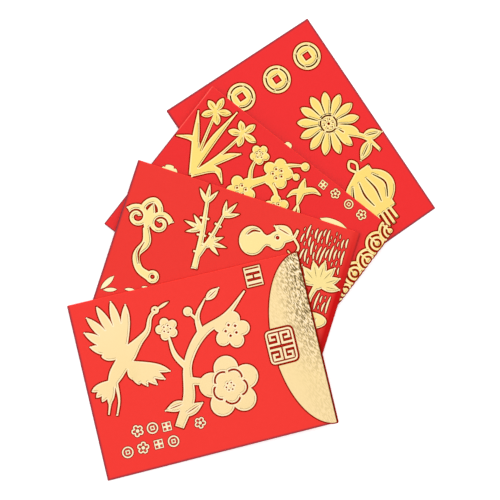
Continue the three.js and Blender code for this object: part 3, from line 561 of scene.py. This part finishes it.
def crushed_foil(tree, local, split, level, foil, number, crushed):
    """The colour, bump height and bump strength of foil that is crushed toward its mouth fold, most
    of all on its upper part: painted shade over the crushed part and in its creases, painted
    highlights on its crests, and painted shade in brown at the fold itself."""
    crease = foil.crease
    toward_fold = band(tree, split["X"], CRUSHED_ALONG, 0.1)
    upper_part = band(tree, split["Y"], CRUSHED_ACROSS, 0.14)
    mark_share = combined(tree, "MULTIPLY", toward_fold, upper_part)
    # Creases lie about 0.3 mm apart, drawn 0.55 mm coarse to show.
    leaning = add(tree, "ShaderNodeMapping", {
        "Vector": local, "Rotation": (0, 0, CREASE_LEAN),
        "Scale": (1, CREASE_STRETCH, 1)}, vector_type="TEXTURE")
    folds = noise(tree, leaning.outputs[0], 0.55, Detail=1, Roughness=0.5, Distortion=0.3)
    # Painted shade, broad and faint, over the crushed part.
    dull = combined(tree, "MULTIPLY", mark_share, 0.12)
    broad_shaded = mix(tree, dull, level, scaled(crease, 1.9))
    # Painted highlight on the crests between the creases.
    crests = ramp(tree, folds, 0.46, 0.38)
    lit = mix(tree, combined(tree, "MULTIPLY", crests, mark_share), broad_shaded, CREST_HIGHLIGHT)
    # Painted shade in the creases themselves.
    sharp = ramp(tree, folds, 0.5, 0.56, 0, crushed)
    creased = mix(tree, combined(tree, "MULTIPLY", sharp, mark_share), lit, crease)
    # Painted shade in brown at the fold itself.
    fold_start = local_box(f"mouth_crease_{number}", number)[0].x
    at_fold = ramp(tree, split["X"], fold_start - 0.55 * MM, fold_start - 0.35 * MM)
    return mix(tree, at_fold, creased, foil.wall), folds, mark_share


def mottled_material(name, size, detail, tones, shading):
    """A material whose colour drifts between two tones every so many millimetres."""
    material, tree = new_material(name)
    place = coordinates(tree)
    drift = noise(tree, place["Object"], size, Detail=detail)
    principled(tree, {"Base Color": mix(tree, drift, *tones), **shading})
    return material


def glue_material(colour):
    """Dried white glue: a cloudy, slightly yellow film with a dull shine, in brush streaks about
    1.5 mm apart."""
    return mottled_material("dried_paper_glue", 1.5, 3, (colour, scaled(colour, 0.85)),
                            {"Roughness": 0.5, "IOR": 1.46})


def shaded_foil_material(colour):
    """Painted shade where foil would bend sharply away from the light: dark olive, with a little
    gloss, paler every 3 mm or so where the bend is softer. The petal veins take it too."""
    return mottled_material("bent_stamped_foil", 3, 2, (scaled(colour, 0.6), scaled(colour, 1.7)),
                            {"Metallic": 1.0, "Roughness": 0.4})


def groove_shade_material(colour):
    """Painted shade of the groove that the stamping die's edge pressed into the red paper: a dull
    brown red, stronger and weaker every 2 mm or so. It is made once."""
    name = "die_pressed_paper"
    tones = (scaled(colour, 1.25), scaled(colour, 0.75))
    return bpy.data.materials.get(name) or mottled_material(
        name, 2, 3, tones, {"Roughness": 0.8, "IOR": 1.5, "Specular IOR Level": 0.0})


# Foil figures


def is_level(face):
    """A face of a figure's top or underside."""
    return abs(face.normal.z) > 0.5


def walls_of(name, number):
    """The upright walls of a packed foil figure, copied onto its envelope's own axes."""
    walls = duplicate(frame["nodes"][name], f"soft_{name}")
    walls.data.transform(axes_of(number).inverted())
    edit(walls)
    select_all()
    bpy.ops.mesh.remove_doubles(threshold=0.002 * MM)
    pick(walls, "FACE", is_level)
    bpy.ops.mesh.delete(type="FACE")
    select_all()
    bpy.ops.mesh.dissolve_limited(angle_limit=math.radians(0.5))
    leave_edit()
    return walls


def has_turn(edge, least, most, room):
    """An upright edge where the wall turns by an angle in this range, with walls at least this
    wide on both sides."""
    run = edge.verts[0].co - edge.verts[1].co
    if abs(run.z) <= 0.03 * MM or run.xy.length >= 0.005 * MM or len(edge.link_faces) != 2:
        return False
    height = edge.calc_length()
    narrowest = min(face.calc_area() / height for face in edge.link_faces)
    return least < edge.calc_face_angle() <= most and narrowest >= room


def round_outline(walls, corner):
    """Turns the outline's short straight runs into smooth curves, and blunts its sharp corners."""
    edit(walls)
    if pick(walls, "EDGE", lambda edge: has_turn(edge, math.radians(1), GENTLE_TURN, 0)):
        bpy.ops.mesh.bevel(offset_type="PERCENT", offset_pct=42, **ROUNDING)
    if pick(walls, "EDGE", lambda edge: has_turn(edge, GENTLE_TURN, math.pi, 2.6 * corner)):
        bpy.ops.mesh.bevel(offset_type="OFFSET", offset=corner, **ROUNDING)
    leave_edit()


def close_figure(walls, lip):
    """Closes a figure's walls above and below, and rounds its upper edge, as foil that was
    pressed over the edge of a die has."""
    edit(walls)
    heights = [v.co.z for v in walls.data.vertices]
    for level in (min(heights), max(heights)):
        pick(walls, "EDGE", lambda edge: edge.is_boundary
             and all(abs(v.co.z - level) < 0.005 * MM for v in edge.verts))
        bpy.ops.mesh.fill(use_beauty=True)
    select_all()
    bpy.ops.mesh.normals_make_consistent(inside=False)
    top = max(heights)
    pick(walls, "EDGE", lambda edge: all(v.co.z > top - 0.005 * MM for v in edge.verts)
         and len(edge.link_faces) == 2 and not all(is_level(face) for face in edge.link_faces))
    bpy.ops.mesh.bevel(offset_type="OFFSET", offset=lip, **ROUNDING)
    leave_edit()


def groove_shade_line(walls, name, width, clearance):
    """The thin line of painted shade round a figure, where the die pressed the paper, from a copy
    of the figure's walls.
    """
    line = duplicate(walls, name)
    low = min(v.co.z for v in line.data.vertices)
    for vertex in line.data.vertices:
        vertex.co.z = clearance + (vertex.co.z - low) * 0.3
    add_modifier(line, "SOLIDIFY", thickness=width, offset=1)
    return line


def press(walls, name, line, number, foil, gold):
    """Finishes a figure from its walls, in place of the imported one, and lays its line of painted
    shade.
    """
    close_figure(walls, foil.lip)
    lay(walls, number, gold)
    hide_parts(name)
    lay(line, number, groove_shade_material(foil.pressed))


def is_narrow(face, tree, depth):
    """Whether the figure is thinner than this behind a face of its wall."""
    start = face.calc_center_median() - face.normal * 0.01 * MM
    return tree.ray_cast(start, -face.normal, depth)[0] is not None


def lay_inner_line(walls, name, number, material, inset, width, heights, wanted):
    """Lays a flat line just inside a figure's edge, along the walls that wanted() picks, where
    there is room for it. The heights are its underside and its share of the foil's."""
    height, share = heights
    line = duplicate(walls, name)
    edit(line)
    solid = BVHTree.FromBMesh(bmesh.from_edit_mesh(line.data))
    depth = 2 * inset + width
    pick(line, "FACE", lambda face: not wanted(face) or is_narrow(face, solid, depth))
    bpy.ops.mesh.delete(type="FACE")
    select_all()
    bpy.ops.transform.shrink_fatten(value=-inset)
    leave_edit()
    if not line.data.polygons:
        bpy.data.objects.remove(line)
        return
    low = min(v.co.z for v in line.data.vertices)
    for vertex in line.data.vertices:
        vertex.co.z = height + (vertex.co.z - low) * share
    add_modifier(line, "SOLIDIFY", thickness=width, offset=-1)
    lay(line, number, material)


class GIFT_ENVELOPE_OT_paper(bpy.types.Operator):
    """Gives the sheets their printed paper"""

    bl_idname = "gift_envelope.paper"
    bl_label = "Printed paper"

    def execute(self, context):
        colours = context.scene.gift_envelope_paper
        for number in NUMBERS:
            # The bottom envelope's long fold gets the same painted shade as its other folds; on the
            # others it gets the painted highlight.
            dark = number == 4
            lit = colours.edge if dark else colours.lit_fold
            for side, kinds, up, edge, rimmed in (
                    ("front", FRONT_SHEETS, True, colours.edge, True),
                    ("fold", LIT_FOLDS, True, lit, dark),
                    ("back", BACK_SHEETS, False, colours.edge, False)):
                material = paper_material(f"offset_printed_paper_{side}_{number}", colours,
                                          number, up, edge, rimmed)
                for kind in kinds:
                    dress(frame["nodes"][f"{kind}_{number}"], material)
        return {"FINISHED"}


class GIFT_ENVELOPE_OT_glue(bpy.types.Operator):
    """Gives the glue films under the tabs their dried glue"""

    bl_idname = "gift_envelope.glue"
    bl_label = "Dried glue"

    def execute(self, context):
        material = glue_material(context.scene.gift_envelope_paper.glue)
        for number in NUMBERS:
            for kind in ("seam_glue", "bottom_glue"):
                dress(frame["nodes"][f"{kind}_{number}"], material)
        return {"FINISHED"}


class GIFT_ENVELOPE_OT_figures(bpy.types.Operator):
    """Models the pressed foil figures, their rims of painted highlight and the lines of painted
    shade round and inside them
    """

    bl_idname = "gift_envelope.figures"
    bl_label = "Foil figures"

    def execute(self, context):
        foil = context.scene.gift_envelope_foil
        shade = shaded_foil_material(foil.shade)
        for number in NUMBERS:
            tone = getattr(foil, f"gold_{number}")
            gold = foil_material(f"hot_stamped_foil_{number}", tone, foil, number)
            # Painted highlight: a lighter copy of the foil, for the rim inside each figure's edge
            # and for the small ornaments.
            bright = foil_material(f"burnished_foil_{number}", whitened(tone, foil.burnish),
                                   foil, number)
            # The fine line of painted shade at the bend lies along the lower right edges, which
            # turn from the light.
            away = axes_of(number).to_3x3().inverted() @ Vector(AWAY_FROM_LIGHT)
            for name in FOILS[number]:
                figure = walls_of(name, number)
                round_outline(figure, foil.corner)
                line = groove_shade_line(figure, f"pressed_{name}", foil.line, foil.clearance)
                top = foil.height - 0.001 * MM
                # The top envelope's bends are softer: a finer line of painted shade, further in.
                softer = 1.5 if number == 1 else 1.0
                lay_inner_line(figure, f"bend_{name}", number, shade, foil.bend * softer,
                               foil.bend_line / softer ** 1.5, (top, 0.1),
                               lambda face: face.normal.dot(away) >= 0.45)
                lay_inner_line(figure, f"rim_{name}", number, bright,
                               FOIL_RIM_START * foil.lip, foil.rim, (top, 0.06),
                               lambda face: True)
                press(figure, name, line, number, foil, gold)
        return {"FINISHED"}


class GIFT_ENVELOPE_OT_half_moon(bpy.types.Operator):
    """Models the crushed foil half moon at the mouth of the top envelope"""

    bl_idname = "gift_envelope.half_moon"
    bl_label = "Half moon"

    def execute(self, context):
        foil = context.scene.gift_envelope_foil
        gold = foil_material("crushed_stamped_foil_1", foil.gold_1, foil, 1, crushed=0.9)
        moon = walls_of(HALF_MOON, 1)
        round_outline(moon, foil.corner)
        line = groove_shade_line(moon, f"pressed_{HALF_MOON}", foil.line, foil.clearance)
        press(moon, HALF_MOON, line, 1, foil, gold)
        return {"FINISHED"}


# Small ornaments, drawn at the origin with their underside level


def draw(kind, turn=0, **settings):
    """Adds a flat primitive in the middle, as a new piece or to the one being drawn."""
    if bpy.context.mode == "OBJECT":
        bpy.ops.object.select_all(action="DESELECT")
    getattr(bpy.ops.mesh, kind)(location=(0, 0, 0), rotation=(0, 0, math.radians(turn)),
                                **settings)
    bpy.ops.object.mode_set(mode="EDIT")
    return bpy.context.object


def disc(vertices, radius, turn=0):
    """Adds a disc of this radius in millimetres in the same way."""
    return draw("primitive_circle_add", turn, vertices=vertices, radius=radius * MM,
                fill_type="NGON")


def select_all_faces():
    """In edit mode, selects the whole piece by its faces."""
    bpy.ops.mesh.select_mode(type="FACE")
    select_all()


def cut_out(width, **settings):
    """Leaves just a line of this width along the edge of the selected faces."""
    bpy.ops.mesh.inset(thickness=width, **settings)
    bpy.ops.mesh.delete(type="FACE")


def stretch(along, across):
    """Scales what is selected, about the middle."""
    bpy.ops.transform.resize(value=(along, across, 1), center_override=(0, 0, 0))


def raise_drawing(piece, height, lift=0.0):
    """Gives a flat drawing its height, and lifts it."""
    select_all()
    bpy.ops.mesh.extrude_region_move(TRANSFORM_OT_translate={"value": (0, 0, height)})
    select_all()
    bpy.ops.transform.translate(value=(0, 0, lift))
    close_shape()
    return piece


def raise_foil(piece, foil):
    """Gives a flat drawing the height of the foil, lifted just clear of the paper."""
    return raise_drawing(piece, foil.height, foil.clearance)


def petal_turn(vertex):
    """How many degrees round a vertex is from the notch before it, where five petals meet."""
    return math.degrees(math.atan2(vertex.co.y, vertex.co.x)) % 72


def drawn_blossom(foil):
    """A five-petalled blossom in outline, with a solid heart."""
    piece = disc(40, 2.9)
    # Eight corners to a petal, from the notch over the tip and back
    for step, reach in enumerate((0.70, 0.86, 0.96, 1.0, 1.0, 1.0, 0.96, 0.86)):
        pick(piece, "VERT", lambda vertex: round(petal_turn(vertex) / 9) % 8 == step)
        stretch(reach, reach)
    select_all_faces()
    cut_out(0.62 * MM)
    disc(10, 0.85)
    return raise_foil(piece, foil)


def drawn_coin(foil):
    """An old coin: a round rim, and a square frame in the middle."""
    piece = disc(28, 2.7)
    select_all_faces()
    cut_out(0.65 * MM)
    disc(4, 1.45, turn=45)
    cut_out(0.5 * MM)
    return raise_foil(piece, foil)


def drawn_knot(foil):
    """A woven knot: a small lattice that stands on its corner."""
    piece = draw("primitive_grid_add", 45, x_subdivisions=2, y_subdivisions=2, size=4.0 * MM)
    select_all_faces()
    cut_out(0.42 * MM, use_individual=True)
    return raise_foil(piece, foil)


def drawn_leaf(foil):
    """A pointed leaf, 6 mm long."""
    piece = disc(16, 1)
    stretch(2.6, 0.85)
    pick(piece, "VERT", lambda vertex: abs(vertex.co.y) < 0.01 * MM)
    stretch(1.2, 1)
    return raise_foil(piece, foil)


def drawn_bud(foil):
    """A solid five-petalled bud, 6 mm across."""
    piece = disc(40, 3.0)
    pick(piece, "VERT", lambda vertex: not 5 <= petal_turn(vertex) <= 67)
    stretch(0.8, 0.8)
    return raise_foil(piece, foil)


def drawn_dash(foil):
    """A short curved dash, thin at both ends."""
    piece = disc(14, 1)
    stretch(0.36, 2.5)
    for part, shift in ((0.55, 0.08), (0.85, 0.14), (2.0, 0.1)):
        pick(piece, "VERT", lambda vertex: abs(vertex.co.y) > part * MM)
        bpy.ops.transform.translate(value=(shift * MM, 0, 0))
    return raise_foil(piece, foil)


def drawn_vein(height):
    """A thin sliver 1 mm long across, as high as this over the paper."""
    piece = disc(10, 0.5)
    stretch(0.16, 1)
    return raise_drawing(piece, height)


def placed(pattern, along, across, turn, size=1.0, width=None):
    """A copy of an ornament with its own mesh, moved to its place on the envelope's axes."""
    copy = duplicate(pattern, f"{pattern.name}_copy")
    place = Matrix.Translation((along * MM, across * MM, 0))
    place @= Matrix.Rotation(math.radians(turn), 4, "Z")
    place @= Matrix.Diagonal((width or size, size, 1, 1))
    copy.data.transform(place)
    return copy


def lay_ornaments(pieces, number, name, line_name, foil, width):
    """Joins small ornaments and lays them on an envelope in the lighter foil of painted highlight,
    with a line of painted shade round them.
    """
    group = joined(pieces, name)
    walls = duplicate(group, f"walls_of_{name}")
    edit(walls)
    pick(walls, "FACE", is_level)
    bpy.ops.mesh.delete(type="FACE")
    leave_edit()
    line = groove_shade_line(walls, line_name, width, foil.clearance)
    bpy.data.objects.remove(walls)
    lay(line, number, groove_shade_material(foil.pressed))
    lay(group, number, bpy.data.materials[f"burnished_foil_{number}"])


def outline_of(name, number):
    """The edge lines of a packed foil figure, as pairs of points on its envelope's axes."""
    walls = walls_of(name, number)
    points = [v.co.copy() for v in walls.data.vertices]
    low = min(point.z for point in points)
    lines = []
    for edge in walls.data.edges:
        start, end = (points[i] for i in edge.vertices)
        if max(start.z, end.z) < low + 0.01 * MM:
            lines.append((start.xy, end.xy))
    bpy.data.objects.remove(walls)
    return lines


def is_inside(point, lines):
    """Whether a point is inside a figure's outline."""
    crossings = 0
    for start, end in lines:
        if (start.y > point.y) != (end.y > point.y):
            share = (point.y - start.y) / (end.y - start.y)
            crossings += start.x + share * (end.x - start.x) > point.x
    return crossings % 2 == 1


def gap_to(point, lines):
    """Distance from a point to the nearest of these lines."""
    nearest = math.inf
    for start, end in lines:
        run = end - start
        share = max(0.0, min(1.0, (point - start).dot(run) / run.length_squared))
        nearest = min(nearest, (start + run * share - point).length)
    return nearest


class GIFT_ENVELOPE_OT_ornaments(bpy.types.Operator):
    """Models the small foil ornaments: blossoms, coins, knots, leaves and buds"""

    bl_idname = "gift_envelope.ornaments"
    bl_label = "Small ornaments"

    def execute(self, context):
        foil = context.scene.gift_envelope_foil
        patterns = {"blossom": drawn_blossom(foil), "coin": drawn_coin(foil),
                    "knot": drawn_knot(foil), "leaf": drawn_leaf(foil), "bud": drawn_bud(foil)}
        for number, places in ORNAMENTS.items():
            pieces = [placed(patterns[kind], *place) for kind, *place in places]
            lay_ornaments(pieces, number, f"small_ornaments_{number}",
                          f"pressed_ornaments_{number}", foil, foil.fine_line)
        for pattern in patterns.values():
            bpy.data.objects.remove(pattern)
        return {"FINISHED"}


class GIFT_ENVELOPE_OT_dashes(bpy.types.Operator):
    """Models the rows of short foil dashes on the second envelope"""

    bl_idname = "gift_envelope.dashes"
    bl_label = "Dashes"

    def execute(self, context):
        foil = context.scene.gift_envelope_foil
        pattern = drawn_dash(foil)
        lines = [line for name in DASHES_CLEAR_OF for line in outline_of(name, 2)]
        pieces = []
        along, row = DASHES_ALONG[0], 0
        while along < DASHES_ALONG[1]:
            across = DASHES_ACROSS[0] + (row * DASH_STAGGER) % DASH_LENGTH
            while across < DASHES_ACROSS[1]:
                size = self.fitting_size(along, across, row, lines)
                if size:
                    lean = 7 * math.sin(2.3 * row + across) + 1
                    middle = across + DASH_LENGTH / 2 * size
                    width = min(1.15 * size, 1.25)
                    pieces.append(placed(pattern, along, middle, lean, size, width))
                across += DASH_LENGTH * size + DASH_GAP if size else 1.0
            along += DASH_ROW
            row += 1
        lay_ornaments(pieces, 2, "waves_2", "pressed_waves_2", foil, 1.4 * foil.fine_line)
        bpy.data.objects.remove(pattern)
        return {"FINISHED"}

    def fitting_size(self, along, across, row, lines):
        """The size of a dash that starts here, or 0 where even a small one meets a figure."""
        full = 1.15 + 0.7 * math.sin(12.9 * row + 4.7 * across)
        for size in (full, 0.6 * full, 0.35):
            points = [Vector((along, across + size * part)) * MM for part in range(6)]
            if points[-1].y > DASHES_ACROSS[1] * MM:
                continue
            if all(gap_to(point, lines) > DASH_CLEARANCE * MM and not is_inside(point, lines)
                   for point in points):
                return size
        return 0


class GIFT_ENVELOPE_OT_veins(bpy.types.Operator):
    """Models the fine dark veins pressed into the larger petals"""

    bl_idname = "gift_envelope.veins"
    bl_label = "Petal veins"

    def execute(self, context):
        foil = context.scene.gift_envelope_foil
        pattern = drawn_vein(foil.height + 3 * foil.clearance)
        shade = bpy.data.materials["bent_stamped_foil"]
        for place, (number, root, (start, end), turns) in enumerate(VEINS):
            pieces = []
            for turn in turns:
                reach = Vector((math.cos(math.radians(turn)), math.sin(math.radians(turn))))
                middle = Vector(root) + reach * (start + end) / 2
                pieces.append(placed(pattern, *middle, turn - 90, end - start, 1.5))
            lay(joined(pieces, f"veins_{place + 1}"), number, shade)
        bpy.data.objects.remove(pattern)
        return {"FINISHED"}


class GIFT_ENVELOPE_OT_fold_strip(bpy.types.Operator):
    """Models the foil that wraps over the mouth crease, beside the half moon"""

    bl_idname = "gift_envelope.fold_strip"
    bl_label = "Foil over the fold"

    def execute(self, context):
        foil = context.scene.gift_envelope_foil
        low, high = local_box("mouth_crease_1", 1)
        start, radius = low.x, high.x - low.x
        # Painted shade in dark brown from the fold on.
        gold = foil_material("folded_stamped_foil_1", foil.gold_1, foil, 1,
                             fold=start - 0.12 * MM)
        width = high.y - low.y - 0.2 * MM
        strip = draw("primitive_plane_add", size=1 * MM)
        stretch(0.25, width / MM)
        rise = foil.clearance + 0.01 * MM
        bpy.ops.transform.translate(value=(start - 0.125 * MM, (low.y + high.y) / 2, rise))
        pick(strip, "EDGE", lambda edge: all(v.co.x > start - 0.01 * MM for v in edge.verts))
        # It stops short of the flap, which comes up beside it when it is open.
        bpy.ops.mesh.spin(steps=6, angle=math.radians(-56), center=(start, 0, -radius),
                          axis=(0, 1, 0))
        close_shape()
        if strip.data.polygons[0].normal.z < 0:
            strip.data.flip_normals()
        strip.name = "foil_over_fold_1"
        add_modifier(strip, "SOLIDIFY", thickness=0.02 * MM, offset=1)
        lay(strip, 1, gold)
        return {"FINISHED"}


class GIFT_ENVELOPE_OT_corners(bpy.types.Operator):
    """Models the small flat corners of each sheet, beside the end creases"""

    bl_idname = "gift_envelope.corners"
    bl_label = "Sheet corners"

    def execute(self, context):
        for number in NUMBERS:
            pieces = []
            panel = local_box(f"front_panel_{number}", number)
            for end, name in enumerate(("bottom_crease", "mouth_crease")):
                crease = local_box(f"{name}_{number}", number)
                pieces += [self.corner(crease, panel, end, side) for side in (0, 1)]
            group = joined(pieces, f"sheet_corners_{number}")
            paper = bpy.data.materials[f"offset_printed_paper_front_{number}"]
            lay(group, number, paper)
        return {"FINISHED"}

    def corner(self, crease, panel, end, side):
        """One corner: a scrap of sheet from the crease's end to the long edge, its tip rounded."""
        inner, outer = panel[end].x, crease[end].x
        near, far = crease[side].y + (-0.02, 0.02)[side] * MM, panel[side].y
        piece = draw("primitive_plane_add", size=1)
        stretch(abs(outer - inner), abs(far - near))
        bpy.ops.transform.translate(value=((inner + outer) / 2, (near + far) / 2, 0))
        bpy.ops.mesh.extrude_region_move(
            TRANSFORM_OT_translate={"value": (0, 0, panel[0].z)})
        tip = Vector((outer, far))
        pick(piece, "EDGE", lambda edge: all((v.co.xy - tip).length < 0.05 * MM
                                             for v in edge.verts))
        bpy.ops.mesh.bevel(offset=0.5 * MM, segments=4, clamp_overlap=True)
        close_shape()
        return piece


class GIFT_ENVELOPE_OT_stage(bpy.types.Operator):
    """Sets the floor, the lamp, the room light and the camera"""

    bl_idname = "gift_envelope.stage"
    bl_label = "Stage"

    def execute(self, context):
        stage = context.scene.gift_envelope_stage
        self.floor(stage)
        self.light(stage)
        self.camera(context, stage)
        context.scene.view_settings.view_transform = "Standard"
        return {"FINISHED"}

    def floor(self, stage):
        """A wide white sheet whose far edge is out of every view."""
        bpy.ops.object.select_all(action="DESELECT")
        bpy.ops.mesh.primitive_plane_add(size=40, location=(0, 0, -0.02 * MM))
        floor = bpy.context.object
        floor.name = "white_floor"
        material, tree = new_material("matt_white_card")
        place = coordinates(tree)
        # Card tooth, drawn 3 mm coarse.
        tooth = noise(tree, place["Object"], 3, Detail=2)
        colour = stage.floor
        diffuse = add(tree, "ShaderNodeBsdfDiffuse", {
            "Color": mix(tree, tooth, colour, scaled(colour, 0.995))})
        # White paper behind the object reads as white, and its shadow stays.
        path = add(tree, "ShaderNodeLightPath").outputs
        seen = combined(tree, "MAXIMUM", path["Is Camera Ray"], path["Is Glossy Ray"])
        through = combined(tree, "MAXIMUM", seen, path["Is Transmission Ray"])
        glow = add(tree, "ShaderNodeEmission", {
            "Color": (1, 1, 1, 1), "Strength": combined(tree, "MULTIPLY", through, 0.32)})
        both = add(tree, "ShaderNodeAddShader", {0: diffuse.outputs[0], 1: glow.outputs[0]})
        # From below the card is clear, so that the undersides can be looked at.
        clear = add(tree, "ShaderNodeBsdfTransparent")
        side = add(tree, "ShaderNodeNewGeometry")
        card_side = add(tree, "ShaderNodeMixShader", {
            0: side.outputs["Backfacing"], 1: both.outputs[0], 2: clear.outputs[0]})
        finish_material(tree, card_side)
        dress(floor, material)

    def light(self, stage):
        """One large lamp overhead, and an even room."""
        lamp = bpy.data.lights.new("softbox", "AREA")
        lamp.shape = "SQUARE"
        lamp.size = stage.softbox
        lamp.energy = stage.power
        linked("softbox", lamp).location = (*LAMP_PLACE, stage.softbox_height)
        world = bpy.data.worlds.new("plain_room")
        world.use_nodes = True
        tree = world.node_tree
        tree.nodes.clear()
        place = coordinates(tree)
        toward = add(tree, "ShaderNodeVectorMath", {
            0: place["Generated"], 1: BRIGHT_SIDE}, operation="DOT_PRODUCT")
        level = ramp(tree, toward.outputs["Value"], -0.5, 1.0, stage.sky * 0.62, stage.sky)
        # Behind the floor's far edge the camera sees plain white.
        path = add(tree, "ShaderNodeLightPath")
        strength = ramp(tree, path.outputs["Is Camera Ray"], 0, 1, level)
        background = add(tree, "ShaderNodeBackground", {
            "Color": (1, 1, 1, 1), "Strength": strength})
        add(tree, "ShaderNodeOutputWorld", {"Surface": background.outputs[0]})
        bpy.context.scene.world = world

    def camera(self, context, stage):
        """Almost straight overhead, where the picture was taken from."""
        camera = bpy.data.cameras.new("camera")
        camera.lens = stage.lens
        camera.sensor_width = 36
        camera.clip_start = 0.01
        camera.clip_end = 100
        right, up = Vector(CAMERA_RIGHT), Vector(CAMERA_UP)
        turn = Matrix((right, up, right.cross(up))).transposed().to_4x4()
        turn.translation = Vector(CAMERA_PLACE) * MM
        holder = linked("camera", camera)
        holder.matrix_world = turn
        context.scene.camera = holder


class GIFT_ENVELOPE_PT_fan(bpy.types.Panel):
    """Lists the pieces and the stage"""

    bl_label = "Gift envelopes"
    bl_idname = "GIFT_ENVELOPE_PT_fan"
    bl_space_type = "VIEW_3D"
    bl_region_type = "UI"
    bl_category = "Gift envelopes"

    def draw(self, context):
        for operator in OPERATORS:
            self.layout.operator(operator.bl_idname)
        for group in GROUPS:
            settings = getattr(context.scene, group)
            box = self.layout.box()
            for name in settings.__annotations__:
                box.prop(settings, name)


OPERATORS = (GIFT_ENVELOPE_OT_stage, GIFT_ENVELOPE_OT_paper, GIFT_ENVELOPE_OT_glue,
             GIFT_ENVELOPE_OT_half_moon, GIFT_ENVELOPE_OT_figures, GIFT_ENVELOPE_OT_ornaments,
             GIFT_ENVELOPE_OT_dashes, GIFT_ENVELOPE_OT_veins, GIFT_ENVELOPE_OT_fold_strip,
             GIFT_ENVELOPE_OT_corners)
GROUPS = {"gift_envelope_paper": GiftEnvelopePaper, "gift_envelope_foil": GiftEnvelopeFoil,
          "gift_envelope_stage": GiftEnvelopeStage}
CLASSES = (*GROUPS.values(), *OPERATORS, GIFT_ENVELOPE_PT_fan)


def register():
    for kind in CLASSES:
        bpy.utils.register_class(kind)
    for name, group in GROUPS.items():
        setattr(bpy.types.Scene, name, bpy.props.PointerProperty(type=group))


def unregister():
    for name in GROUPS:
        delattr(bpy.types.Scene, name)
    for kind in reversed(CLASSES):
        bpy.utils.unregister_class(kind)


def main():
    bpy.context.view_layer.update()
    register()
    bpy.ops.gift_envelope.stage()
    bpy.ops.gift_envelope.paper()
    bpy.ops.gift_envelope.glue()
    bpy.ops.gift_envelope.half_moon()
    bpy.ops.gift_envelope.figures()
    bpy.ops.gift_envelope.ornaments()
    bpy.ops.gift_envelope.dashes()
    bpy.ops.gift_envelope.veins()
    bpy.ops.gift_envelope.fold_strip()
    bpy.ops.gift_envelope.corners()


if __name__ == "__main__":
    main()
